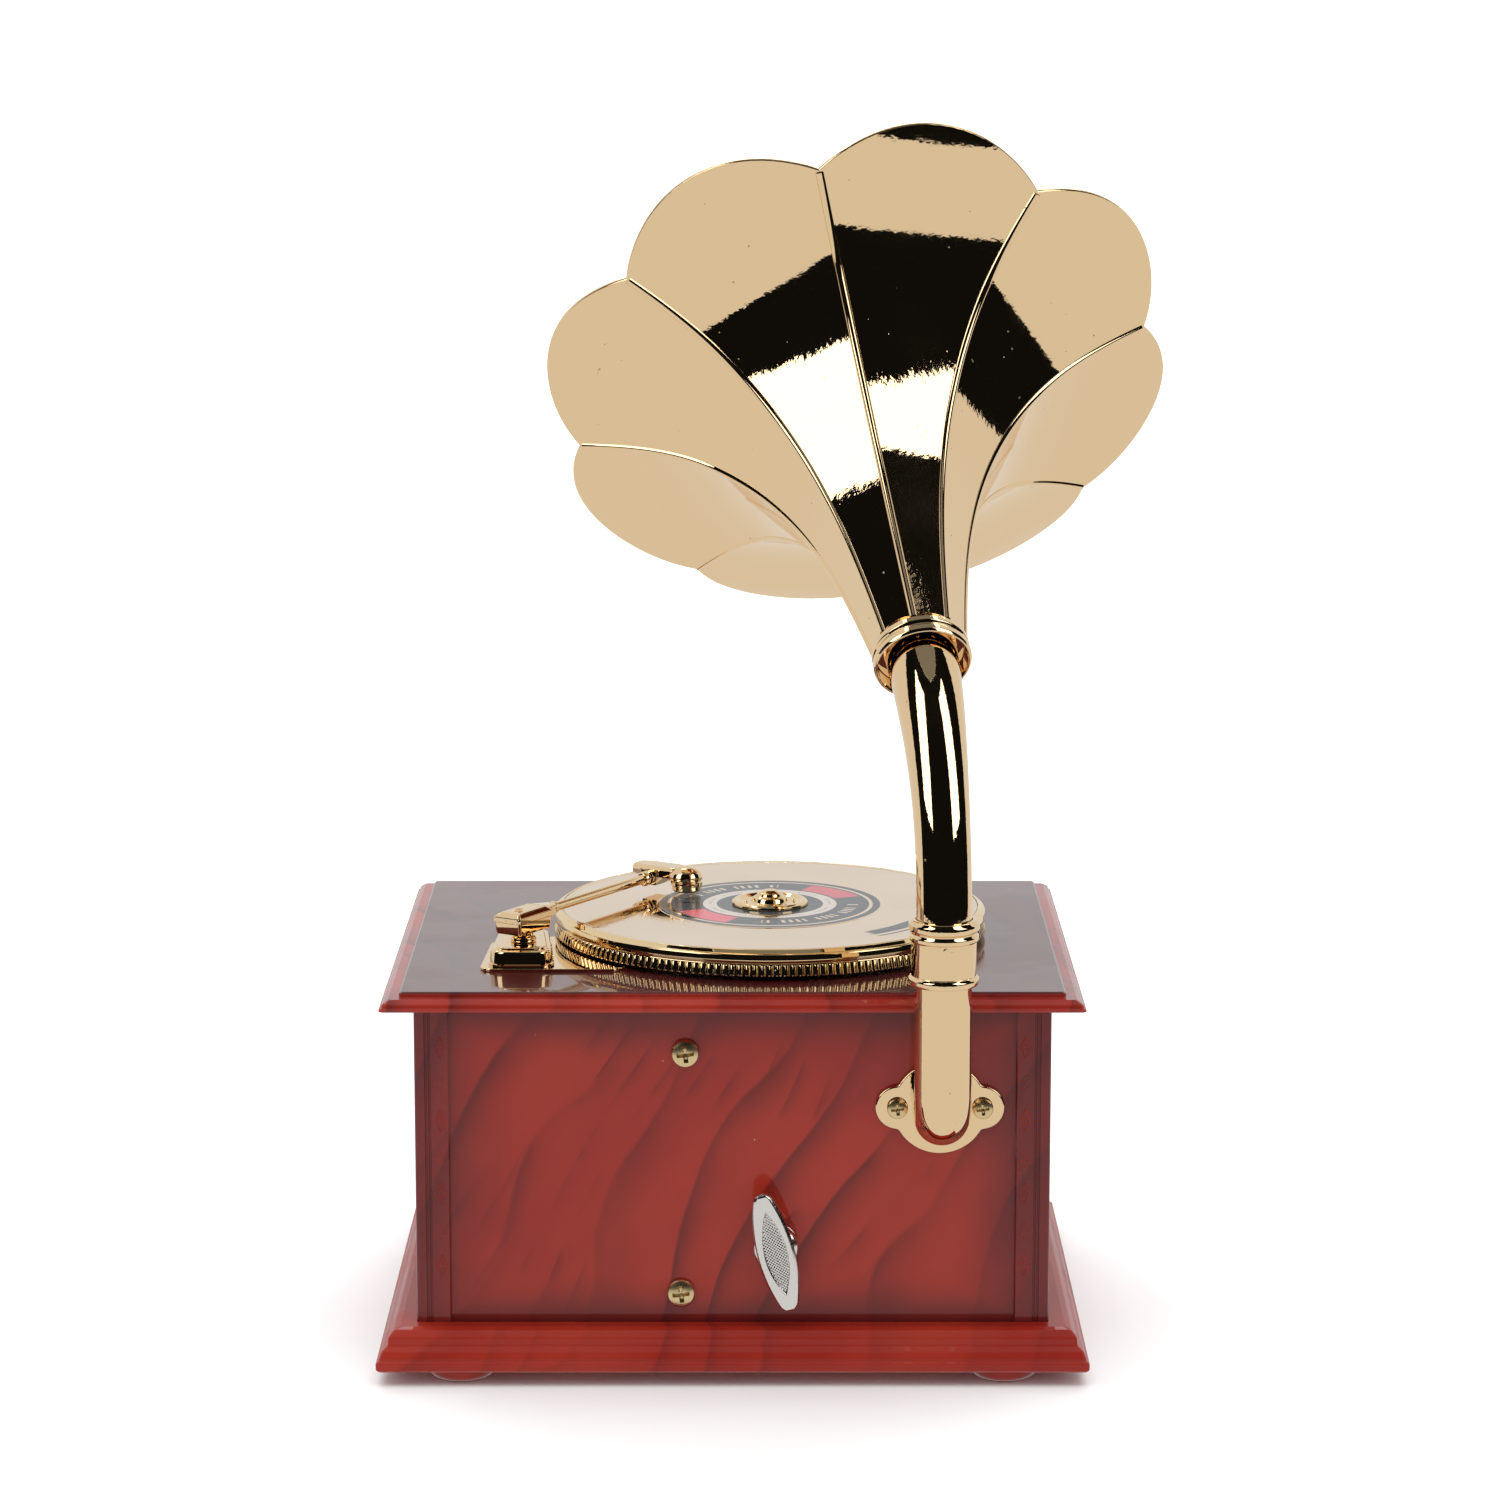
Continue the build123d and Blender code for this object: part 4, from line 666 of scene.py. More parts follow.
def moulded_base():
    """Plinth with three stepped mouldings, hollow underneath for the bottom cover."""
    foot, top = BASE_LOW[2], BASE_HIGH[2]
    profile = rounded([
        (-2.0, foot, 0), (7.0, foot, 0.2), (7.5, foot + 0.5, 0.3), (7.5, foot + 1.8, 0.3),
        (7.0, foot + 2.2, 0.2), (6.9, foot + 2.25, 0.1), (6.9, foot + 2.6, 0.1), (6.4, foot + 3.9, 0.9),
        (5.4, top - 3.2, 0.3), (5.3, top - 2.9, 0.1), (5.2, top - 1.6, 0.9), (4.2, top - 0.4, 0.9),
        (3.0, top, 0.3), (0.1, top, 0),
    ])
    inner = [(0.0, top - 3.0), (-5.5, top - 3.0), (-5.5, foot + 2.4)]
    shape = Shape()
    cover = (COVER_HIGH - COVER_LOW)[:2] / 2 + 0.2
    loops = edge_loops(profile + inner)
    loops += [rectangle_loop(cover[0] - 8, cover[1] - 8, z) for z in (foot + 2.4, foot + 1.6)]
    loops += [rectangle_loop(cover[0], cover[1], z) for z in (foot + 1.6, foot)]
    shape.grid(loops, around=True, along=True)
    piece("base_mouldings", shape, "moulding", "case", ("base_plinth",), sharp=50)


def domed_feet():
    """Four low round feet."""
    low, high = box_mm("feet")
    top = high[2]
    outline = rounded([(0, 0, 0), (3.9, 0, 2.5), (6.3, 0.75, 3.0), (FOOT_RADIUS, top, 0), (0, top, 0)])
    shape = Shape()
    for x in (low[0] + FOOT_RADIUS, high[0] - FOOT_RADIUS):
        for y in (low[1] + FOOT_RADIUS, high[1] - FOOT_RADIUS):
            shape.lathe(outline, (x, y, 0), steps=64)
    piece("domed_feet", shape, "moulding", "case", ("feet",), sharp=50)


def pilaster_relief():
    """Raised diamonds with a flower inside and dots between them, on the back and front pilasters."""
    shape = Shape()
    dome = [(0.0, 0.13), (0.10, 0.11), (0.17, 0.05), (0.2, -0.05)]
    dots = [(0, 0), (-0.55, 0.75), (0.55, 0.75), (-0.55, -0.75), (0.55, -0.75), (0, 1.5), (0, -1.5)]
    for face in (-1, 1):
        y = CASE_MIDDLE[1] + face * CASE_HALF[1]
        for side in (-1, 1):
            x = CASE_MIDDLE[0] + side * (CASE_HALF[0] - DIAMOND_INSET)
            for row in range(DIAMOND_ROWS):
                z = DIAMOND_TOP - DIAMOND_PITCH * row
                lozenge = [(0.98, 0), (0, 2.1), (-0.98, 0), (0, -2.1), (0.98, 0), (0, 2.1)]
                shape.tube([(x + px, y, z + pz) for px, pz in lozenge], 0.13, steps=8, side=(0, 1, 0))
                for petal in range(4):
                    a = math.radians(90 * petal + 45)
                    place = (x + 0.36 * math.cos(a), y, z + 0.6 * math.sin(a))
                    shape.lathe(dome, place, (0, face, 0), 12)
                if row < DIAMOND_ROWS - 1:
                    for px, pz in dots:
                        shape.lathe(dome, (x + px, y, z - DIAMOND_PITCH / 2 + pz), (0, face, 0), 12)
    piece("pilaster_relief", shape, "moulding", "case")


case_shell()
moulded_lid()
moulded_base()
domed_feet()
pilaster_relief()


# ---- Screws ----


SLOT_TURN = math.radians(8)


def cross_screw(shape, origin, out, radius, height, shank, length):
    """Pan head with a Phillips recess: a dome whose middle sinks along two crossing slots."""
    first, second, out = basis(out)
    across = first * math.cos(SLOT_TURN) + second * math.sin(SLOT_TURN)
    other = second * math.cos(SLOT_TURN) - first * math.sin(SLOT_TURN)
    angles = np.linspace(0, 2 * math.pi, 96, endpoint=False)
    slot_half = 0.15 * radius
    reach = 0.60 * radius
    rows = []
    for share in np.linspace(0, 0.9, 30):
        x = share * radius * np.cos(angles)
        y = share * radius * np.sin(angles)
        dome = height * (1 - 0.30 * share**2.4)
        upright = np.minimum(slot_half - np.abs(x), reach - np.abs(y))
        level = np.minimum(slot_half - np.abs(y), reach - np.abs(x))
        inside = np.maximum(upright, level)
        bowl = np.clip(0.30 * radius - np.hypot(x, y), 0, None)
        sunk = 0.62 * height * np.clip(inside / (0.07 * radius), 0, 1) ** 0.7 + 0.2 * bowl
        top = dome - np.minimum(sunk, 0.8 * height)
        rows.append(np.array(origin) + np.outer(x, across) + np.outer(y, other) + np.outer(top, out))
    edge = rounded([
        (0.9 * radius, 0.735 * height, 0), (radius, 0.55 * height, 0.2), (radius, 0.02, 0.05), (shank, 0, 0),
    ])
    edge += [(shank, -length), (0, -length)]
    ring = np.outer(np.cos(angles), across) + np.outer(np.sin(angles), other)
    for r, h in edge:
        rows.append(np.array(origin) + r * ring + h * out)
    shape.grid(rows, around=True)


def screw_group(node, name, radius, height, shank):
    """Replace a node's gold screws, one for each loose part of its mesh, by detailed ones."""
    co = np.array([v.co for v in NODES[node].data.vertices]) / MM
    out = np.array((0, -1, 0), float)
    heads = co @ out
    seat = heads.max() - height
    tops = co[heads > seat + 0.02]
    centres = []
    for point in tops:
        if not any(np.linalg.norm((point - c) - out * ((point - c) @ out)) < 2.6 * radius for c in centres):
            away = tops - point
            near = np.linalg.norm(away - np.outer(away @ out, out), axis=1) < 2.6 * radius
            group = tops[near]
            centres.append((group.min(0) + group.max(0)) / 2)
    length = seat - heads.min()
    shape = Shape()
    for centre in centres:
        origin = centre - out * (centre @ out) + out * seat
        cross_screw(shape, origin, out, radius, height, shank, length)
    piece(name, shape, "gold_screws", "case", (node,), sharp=60)


screw_group("movement_screws", "back_screws", 2.7, 1.8, 1.5)
screw_group("bracket_screws", "ear_screws", 2.0, 1.3, 1.0)


# ---- Winding key ----

KEY_TILT = math.radians(13.9)
KEY_HALF_LENGTH = 15.0
KEY_HALF_WIDTH = 3.6
KEY_TIP_RADIUS = 2.0
KEY_THICK = 1.8
INSET_HALF_LENGTH = 8.5
INSET_HALF_WIDTH = 2.3
INSET_DEPTH = 0.34
INSET_WALL = 0.3
PEBBLE = 0.62
PEBBLE_HEIGHT = 0.22
EDGE_ROUND = 0.55
EDGE_RUN = 0.75


def lens_half(half_length, half_width, v, tip=0.0):
    """Half width of a lens at a distance v from its middle, with its points rounded to a tip radius."""
    arc = (half_length**2 + half_width**2) / (2 * half_width)
    tip_centre = math.sqrt((arc - tip) ** 2 - (arc - half_width) ** 2)
    if abs(v) <= tip_centre * arc / (arc - tip):
        return max(math.sqrt(max(arc**2 - v**2, 0)) - (arc - half_width), 0.0)
    return math.sqrt(max(tip**2 - (abs(v) - tip_centre) ** 2, 0))


def key_blade():
    """Lens-shaped blade with a rounded edge and a pebbled field sunk in its face."""
    arc = (KEY_HALF_LENGTH**2 + KEY_HALF_WIDTH**2) / (2 * KEY_HALF_WIDTH)
    tall = KEY_TIP_RADIUS + math.sqrt((arc - KEY_TIP_RADIUS) ** 2 - (arc - KEY_HALF_WIDTH) ** 2)
    along = np.array([-math.sin(KEY_TILT), 0, math.cos(KEY_TILT)])
    across = np.array([math.cos(KEY_TILT), 0, math.sin(KEY_TILT)])
    centre = np.array([KEY_AXIS[0], 0, KEY_AXIS[2]])
    rows = []
    for a in np.linspace(-math.pi / 2, math.pi / 2, 281):
        v = 0.9995 * tall * math.sin(a)
        half = lens_half(KEY_HALF_LENGTH, KEY_HALF_WIDTH, v, KEY_TIP_RADIUS)
        inset_half = lens_half(INSET_HALF_LENGTH, INSET_HALF_WIDTH, v) if abs(v) < INSET_HALF_LENGTH else 0.0
        front, back = [], []
        for b in np.linspace(-math.pi / 2, math.pi / 2, 97):
            u = half * math.sin(b)
            rim = min(half - abs(u), tall - abs(v))
            rounding = EDGE_ROUND * (1 - min(rim / EDGE_RUN, 1)) ** 2
            inside = inset_half - abs(u)
            drop = rounding
            if inside > INSET_WALL:
                dot = math.cos(2 * math.pi * u / PEBBLE) * math.cos(2 * math.pi * v / PEBBLE)
                drop += INSET_DEPTH - PEBBLE_HEIGHT * max(dot, -0.2)
            elif inside > 0:
                drop += INSET_DEPTH * inside / INSET_WALL
            place = centre + across * u + along * v
            front.append(place + np.array([0, KEY_FACE_Y + drop, 0]))
            back.append(place + np.array([0, KEY_FACE_Y + KEY_THICK - 0.8 * rounding, 0]))
        rows.append(front + back[::-1])
    shape = Shape()
    shape.grid(rows, around=True, caps=True)
    piece("key_lens", shape, "chrome", "winding_key", ("key_blade",), sharp=80, flat=False)


def key_hub():
    """Round hub of the key, with a groove near its foot."""
    hub_low, hub_high = box_mm("key_hub")
    radius = (hub_high[2] - hub_low[2]) / 2
    front, back = hub_low[1], hub_high[1]
    outline = rounded([
        (0, front, 0), (2.9, front, 0.4), (radius, front + 1.0, 0.6), (radius, back - 1.4, 0.2),
        (radius - 0.35, back - 1.25, 0.1), (radius - 0.35, back - 0.9, 0.1), (radius, back - 0.75, 0.2),
        (radius, back, 0.25), (0, back, 0),
    ])
    shape = Shape()
    shape.lathe(outline, (KEY_AXIS[0], 0, KEY_AXIS[2]), (0, 1, 0), 96)
    piece("key_boss", shape, "chrome", "winding_key", ("key_hub",), sharp=50)


key_blade()
key_hub()


# ---- Turntable ----

PLATTER_RADIUS = 43.0
RECORD_RADIUS = 41.3
KNURLS = 180
KNURL_BOTTOM = 77.15
KNURL_TOP = 79.4
KNURL_HEIGHT = KNURL_TOP - KNURL_BOTTOM
KNURL_LEAN = 0.6


def knurled_platter():
    """Platter with a band of rounded upright knurls, a polished bead and a bevel up to the record."""
    top = PLATTER_TOP
    table = (*TABLE, 0)
    shape = Shape()
    under = rounded([
        (1.9, KNURL_BOTTOM, 0), (8, KNURL_BOTTOM, 0.3), (8, KNURL_TOP, 0.5), (38, KNURL_TOP, 0.5),
        (39.6, KNURL_BOTTOM + 0.05, 0.4), (PLATTER_RADIUS - 0.35, KNURL_BOTTOM + 0.05, 0),
    ])
    shape.lathe(under, table, steps=256)
    upper = rounded([
        (PLATTER_RADIUS - 0.35, KNURL_TOP, 0), (PLATTER_RADIUS - 0.4, KNURL_TOP + 0.12, 0.05),
        (PLATTER_RADIUS - 0.1, KNURL_TOP + 0.3, 0.2), (PLATTER_RADIUS, KNURL_TOP + 0.9, 0.9),
        (PLATTER_RADIUS - 0.2, KNURL_TOP + 1.9, 0.4), (PLATTER_RADIUS - 0.5, KNURL_TOP + 2.05, 0.08),
        (PLATTER_RADIUS - 0.75, KNURL_TOP + 2.1, 0.08), (RECORD_RADIUS + 0.35, top - 0.02, 0.15),
        (RECORD_RADIUS + 0.1, top - 0.02, 0.08), (RECORD_RADIUS + 0.05, top - 0.5, 0),
    ])
    upper += [(RECORD_RADIUS + 0.05, RECORD_LOW[2]), (1.9, RECORD_LOW[2])]
    shape.lathe(upper, table, steps=256)
    angles = np.linspace(0, 2 * math.pi, KNURLS * 10, endpoint=False)
    height = np.clip(0.5 + 0.75 * np.cos(angles * KNURLS), 0, 1) ** 0.8
    foot_half = ((0, 0), (0.02, 0.6), (0.18, 0.92), (0.4, 1))
    head_half = ((1.85, 1), (2.07, 0.92), (2.23, 0.6), (2.25, 0))
    rows = []
    for z, reach in foot_half + head_half:
        r = PLATTER_RADIUS - 0.35 - KNURL_LEAN * z / KNURL_HEIGHT + 0.35 * reach * height
        x, y = TABLE[0] + r * np.cos(angles), TABLE[1] + r * np.sin(angles)
        rows.append(np.stack([x, y, np.full_like(r, KNURL_BOTTOM + z)], 1))
    shape.grid(rows, around=True)
    piece("knurled_platter", shape, "gold_rim", "turntable", ("platter",), sharp=60)


def record():
    """Record disc with a raised rim, a step round its label and a dished run to the hub."""
    top, low = RECORD_HIGH[2], RECORD_LOW[2]
    outline = rounded([
        (2.0, low, 0), (RECORD_RADIUS - 0.1, low, 0.1), (RECORD_RADIUS, low + 0.1, 0.1),
        (RECORD_RADIUS, top - 0.1, 0.1), (RECORD_RADIUS - 0.25, top, 0.12), (RECORD_RADIUS - 0.9, top, 0.2),
        (RECORD_RADIUS - 1.2, top - 0.12, 0.2), (22.5, top - 0.12, 0.1), (22.35, top - 0.04, 0.1),
        (8.2, top - 0.04, 0), (2.0, top - 0.04, 0),
    ])
    shape = Shape()
    origin = (*TABLE, 0)
    shape.lathe(outline, origin, steps=256)
    piece("record_with_label", shape, "record", "turntable", ("record_disc",), origin, sharp=50)


def spindle():
    """Domed cap at the record's middle, in a shallow dish with a rolled rim and six small scallops."""
    tip = box_mm("spindle_cap")[1][2]
    base = RECORD_HIGH[2]
    outline = rounded([
        (2.0, base - 0.04, 0), (7.45, base - 0.04, 0), (7.6, base + 0.12, 0.1), (7.55, base + 0.55, 0.2),
        (7.1, base + 0.95, 0.4), (6.4, base + 0.95, 0.4), (5.6, base + 0.45, 0.5), (4.1, base + 0.3, 0.5),
        (3.5, base + 0.5, 0.3), (3.3, base + 1.4, 0.5), (2.7, base + 1.7, 0.4), (2.4, base + 2.3, 0.5),
        (1.2, tip - 0.12, 0.9), (0, tip, 0),
    ])
    shape = Shape()
    shape.lathe(outline, (*TABLE, 0), steps=96)
    bead = [(0, 0.34), (0.2, 0.29), (0.36, 0.14), (0.4, -0.1)]
    for lobe in range(6):
        a = math.radians(60 * lobe + 10)
        place = (TABLE[0] + 4.8 * math.cos(a), TABLE[1] + 4.8 * math.sin(a), base + 0.42)
        shape.lathe(bead, place, steps=20)
    piece("spindle_dome", shape, "gold_rim", "turntable", ("spindle_cap",), sharp=50)


knurled_platter()
record()
spindle()


# ---- Tonearm ----

ARM_HEADING = math.radians(57.6)
ARM_HEIGHT = 85.0
ARM_LENGTH = 44.0
ARM_START = 9.2
ARM_END = ARM_LENGTH - 2.5
HEAD = ARM_LENGTH + 2.6
ALONG = np.array([math.cos(ARM_HEADING), math.sin(ARM_HEADING), 0])
LEFT = np.array([-math.sin(ARM_HEADING), math.cos(ARM_HEADING), 0])


def on_arm(along, left, z):
    """Point on the tonearm from its pivot, in millimetres."""
    return np.array([*PIVOT, 0]) + ALONG * along + LEFT * left + np.array([0, 0, z])


def turret():
    """Tapered turret with round corners, a ledge and a raised pad."""
    middle = (TURRET_LOW + TURRET_HIGH)[:2] / 2
    corners = [(-6.55, -10.85), (6.55, -10.85), (4.95, 10.85), (-5.45, 10.85)]
    low, high = TURRET_LOW[2], TURRET_HIGH[2]
    levels = [(0, low, 3.2), (0, low + 0.5, 3.2), (0.25, low + 0.62, 3.2), (0.45, high - 0.95, 3.1)]
    levels += [(0.5, high - 0.75, 3.1), (0.75, high - 0.5, 3.0), (1.3, high - 0.45, 2.8)]
    levels += [(1.4, high - 0.4, 2.8), (1.5, high - 0.12, 2.7), (1.75, high, 2.6)]
    rows = []
    for inset, z, radius in levels:
        plan = []
        for x, y in corners:
            pulled_x = x - math.copysign(inset, x)
            pulled_y = y - math.copysign(inset, y)
            plan.append((middle[0] + pulled_x, middle[1] + pulled_y, radius))
        rows.append([(x, y, z) for x, y in rounded(plan, closed=True)])
    shape = Shape()
    shape.grid(rows, around=True, caps=True)
    piece("turret_body", shape, "gold_smooth", "case", ("arm_turret",), sharp=50)


def deck():
    """Thin plate under the turret and the turntable, with a round boss."""
    table = TABLE - CASE_MIDDLE
    outline = rounded([
        (-48.8, -34, 2.5), (-22.8, -34, 2), (-14, -26, 3), (table[0] + 6, table[1] - 9, 1),
        (table[0] - 4, table[1] + 9, 1), (-47.6, -10, 3),
    ], closed=True)
    shape = Shape()
    shape.slab([(CASE_MIDDLE[0] + x, CASE_MIDDLE[1] + y) for x, y in outline], (0, 0, DECK_LOW[2]), 0.6)
    boss = [(0, DECK_LOW[2]), (10, DECK_LOW[2]), (10, DECK_HIGH[2]), (0, DECK_HIGH[2])]
    shape.lathe(boss, (*TABLE, 0), steps=96)
    piece("deck_sheet", shape, "gold_smooth", "case", ("deck_plate",), bevel=0.15)


def box_plan(half_x, low_y, high_y, radius):
    """Rectangle with round corners, from its upper right corner round to its lower right one."""
    corners = [(half_x, high_y), (-half_x, high_y), (-half_x, low_y), (half_x, low_y)]
    return rounded([(x, y, radius) for x, y in corners], closed=True)


def arm_block():
    """Block over the pivot with its cap, and the wedge that holds the arm."""
    low, high = box_mm("arm_block")
    bottom, tall = low[2], high[2] - low[2]
    shape = Shape()
    body = [(4.6, 2.7, 0.0, 0.4), (5.0, 2.9, 0.12, 0.5), (5.3, 3.0, 0.9, 0.5), (5.35, 3.0, 2.35, 0.5)]
    body += [(5.7, 3.2, 2.5, 0.5), (5.7, 3.2, 3.4, 0.5), (5.55, 3.05, 3.62, 0.5), (4.7, 2.2, 4.25, 0.4)]
    body += [(4.3, 1.8, 4.4, 0.4)]
    rows = []
    for half_along, half_across, z, radius in body:
        plan = box_plan(half_along, -half_across, half_across, radius)
        rows.append([on_arm(a, b, bottom + z) for a, b in plan])
    shape.grid(rows, around=True, caps=True)
    cap = [(0, tall - 0.1), (0.9, tall - 0.15), (0.75, tall), (0, tall)]
    shape.lathe(cap, on_arm(-1.5, 0, bottom), steps=32)
    stations = ((4.9, 2.1, -1.7, 1.6), (7.2, 1.55, -1.35, 1.35), (9.6, 1.15, -1.1, 1.1))
    wedge = []
    for along, half_wide, low_z, high_z in stations:
        plan = box_plan(half_wide, low_z, high_z, 0.5)
        wedge.append([on_arm(along, left, ARM_HEIGHT + up) for left, up in plan])
    shape.grid(wedge, around=True, caps=True)
    piece("tonearm_block", shape, "gold_smooth", "tonearm", ("arm_block",), bevel=0.12, sharp=30)


def arm_tube():
    """Thin arm with a thicker foot."""
    outline = rounded([
        (0, ARM_START, 0), (1.25, ARM_START, 0.2), (1.25, ARM_START + 1.2, 0.2), (0.95, ARM_START + 1.6, 0.3),
        (0.95, ARM_END - 0.3, 0.1), (0, ARM_END, 0),
    ])
    shape = Shape()
    shape.lathe(outline, on_arm(0, 0, ARM_HEIGHT), ALONG, 48)
    piece("tonearm_tube", shape, "gold_smooth", "tonearm", ("arm_tube",), sharp=50)


def headshell():
    """Ferrule, plate with a finger lift, dome over the cartridge and saddle."""
    shape = Shape()
    ferrule = rounded([
        (0, ARM_END - 0.2, 0), (1.2, ARM_END - 0.2, 0.2), (1.5, ARM_END + 0.4, 0.2),
        (1.5, ARM_END + 0.9, 0.15), (1.2, ARM_END + 1.1, 0.1), (1.2, ARM_END + 1.5, 0.1),
        (1.5, ARM_END + 1.7, 0.15), (1.5, ARM_END + 2.6, 0.2), (0, ARM_END + 2.8, 0),
    ])
    shape.lathe(ferrule, on_arm(0, 0, ARM_HEIGHT), ALONG, 48)
    base = ARM_HEIGHT + 0.2
    plate = rounded([
        (-2.7, -6.5, 1.5), (-2.8, 2.0, 1.2), (-1.4, 4.9, 0.4),
        (1.6, 4.9, 0.4), (2.8, 2.0, 1.2), (2.7, -6.5, 1.5),
    ], closed=True)
    rows = []
    for inset, z in ((0.25, 0.0), (0.0, 0.25), (0.0, 1.5), (0.3, 1.95), (0.8, 2.2)):
        along, across = 1 - inset / 2.8, 1 - inset / 5.7
        rows.append([on_arm(HEAD + x * along, y * across, base + z) for x, y in plate])
    shape.grid(rows, around=True, caps=True)
    dome = rounded([
        (0, -0.3, 0), (3.4, -0.3, 0.2), (3.5, 0.4, 0.8), (3.1, 1.5, 1.2), (1.6, 2.25, 1.6), (0, 2.4, 0),
    ])
    shape.lathe(dome, on_arm(HEAD, -7.0, base), steps=64)
    saddle = [(-2.6, -1.6), (2.6, -1.6), (2.6, 1.6), (-2.6, 1.6)]
    rows = [[on_arm(HEAD + x, y, base + z) for x, y in saddle] for z in (-1.7, 0.2)]
    shape.grid(rows, around=True, caps=True)
    piece("headshell_cover", shape, "gold_smooth", "tonearm", ("headshell",), bevel=0.14, sharp=30)


def cartridge():
    """Round can under the headshell, with a stepped waist."""
    low, high = box_mm("cartridge")
    bottom, top = low[2], high[2]
    outline = rounded([
        (0, bottom, 0), (2.6, bottom, 0.3), (3.0, bottom + 0.35, 0.3), (3.0, bottom + 1.1, 0.1),
        (3.2, bottom + 1.25, 0.1), (3.2, top - 0.6, 0.15), (3.0, top - 0.45, 0.1), (3.0, top, 0), (0, top, 0),
    ])
    shape = Shape()
    shape.lathe(outline, on_arm(HEAD, -7.3, 0), steps=64)
    piece("cartridge_can", shape, "gold_smooth", "tonearm", ("cartridge",), sharp=50)


def arm_pivot():
    """Stem of the tonearm, with a flange just over the turret."""
    low, high = box_mm("arm_pivot")
    turret_top = TURRET_HIGH[2]
    outline = rounded([
        (0, low[2], 0), (1.2, low[2], 0), (1.2, turret_top + 0.15, 0), (2.5, turret_top + 0.15, 0.1),
        (2.5, turret_top + 0.9, 0.25), (1.9, turret_top + 1.2, 0.2), (1.9, high[2], 0), (0, high[2], 0),
    ])
    shape = Shape()
    shape.lathe(outline, (*PIVOT, 0), steps=64)
    piece("pivot_stem", shape, "gold_smooth", "tonearm", ("arm_pivot",), sharp=50)


turret()
deck()
arm_block()
arm_tube()
headshell()
cartridge()
arm_pivot()


# ---- Horn post ----

POST_RADIUS = 5.35
ELBOW_Z = BRACKET_MIDDLE[2]
ELBOW_BEND = 6.0
POST_TOP = 84.0
COLLAR_BORE = 5.35
PLATE_RADIUS = 9.0
EAR_REACH = 8.1
EAR_RADIUS = 4.2
SOFTNESS = 30


def bracket():
    """Round plate with two ears and softened notches where they meet it."""
    outline = []
    for step in range(240):
        a = 2 * math.pi * step / 240
        reach = EAR_RADIUS**2 - (EAR_REACH * math.sin(a)) ** 2
        ear = EAR_REACH * abs(math.cos(a)) + math.sqrt(reach) if reach > 0 else 0.0
        radius = (PLATE_RADIUS**SOFTNESS + ear**SOFTNESS) ** (1 / SOFTNESS)
        outline.append((radius * math.cos(a), radius * math.sin(a)))
    shape = Shape()
    thick = BRACKET_HIGH[1] - BRACKET_LOW[1]
    origin = (BRACKET_MIDDLE[0], BRACKET_HIGH[1], BRACKET_MIDDLE[2])
    shape.slab(outline, origin, thick, (1, 0, 0), (0, -1, 0))
    piece("bracket_disc", shape, "gold", "case", ("bracket_plate",), bevel=0.35)


def post():
    """Upright post with its elbow into the bracket."""
    path = [(POST[0], POST[1], z) for z in np.linspace(POST_TOP, ELBOW_Z + ELBOW_BEND, 24)]
    for step in range(1, 19):
        a = math.radians(90 * step / 18)
        lift = ELBOW_BEND * (1 - math.sin(a))
        path.append((POST[0], POST[1] + ELBOW_BEND * (1 - math.cos(a)), ELBOW_Z + lift))
    path.append((POST[0], BRACKET_LOW[1] + 0.1, ELBOW_Z))
    shape = Shape()
    shape.tube(path, POST_RADIUS, steps=96)
    piece("post_elbow", shape, "gold", "case", ("horn_post",), sharp=70, flat=False)


def collar():
    """Collar round the post's head, with a bead at its foot and two at its mouth."""
    low, high = COLLAR_LOW[2], COLLAR_HIGH[2]
    outline = rounded([
        (5.3, low, 0), (6.3, low, 0.3), (6.65, low + 0.5, 0.5), (6.65, low + 1.3, 0.5),
        (6.25, low + 1.75, 0.2), (6.1, low + 1.85, 0.1), (6.1, high - 4.2, 0.2), (6.5, high - 3.9, 0.3),
        (6.55, high - 3.1, 0.5),
        (6.2, high - 2.6, 0.15), (6.25, high - 2.35, 0.15), (6.65, high - 1.9, 0.5), (6.65, high - 0.8, 0.5),
        (6.1, high - 0.1, 0.4), (COLLAR_BORE, high, 0), (COLLAR_BORE, high - 5, 0),
    ], turn_step=8)
    shape = Shape()
    shape.lathe(outline, (*POST, 0), steps=128)
    piece("collar_beads", shape, "gold", "case", ("post_collar",), sharp=60)


bracket()
post()
collar()


# ---- Horn ----

HORN_FROM_POST = np.array([-3.7, 22.3])
HORN_Z = 138.2
HORN_ELEVATION = math.radians(36.0)
HORN_HEADING = math.radians(-9.4)
HORN_ROLL = -14.8
HORN_WALL = 1.1
GORES = 8
HALF_GORE = math.radians(22.5)
NOTCH_RADIUS = 57.5
PETAL_RADIUS = 63.5
GORE_START = 2.0
NECK_RADIUS = 5.2
RIB_RISE = 0.12
RIM_INSET = 0.4
RIM_BEAD = 0.62
PROFILE = ((8.0, 0), (12.4, 25), (21.2, 49.5), (35.3, 66.9), (53.1, 76.0), (56.5, 77.2), (63.7, 80.5))

HORN = np.array([*(POST + HORN_FROM_POST), HORN_Z])
AXIS = np.array([
    math.sin(HORN_HEADING) * math.cos(HORN_ELEVATION),
    math.cos(HORN_HEADING) * math.cos(HORN_ELEVATION),
    math.sin(HORN_ELEVATION),
])
UP = np.array([0, 0, 1.0]) - AXIS * AXIS[2]
UP /= np.linalg.norm(UP)
SIDE = np.cross(AXIS, UP)

curve = smooth_curve(PROFILE, 2400)
reach = np.concatenate([[0], np.cumsum(np.linalg.norm(np.diff(curve, axis=0), axis=1))])
run = np.gradient(curve, axis=0)
run /= np.linalg.norm(run, axis=1)[:, None]
inward = np.stack([-run[:, 1], run[:, 0]], 1)


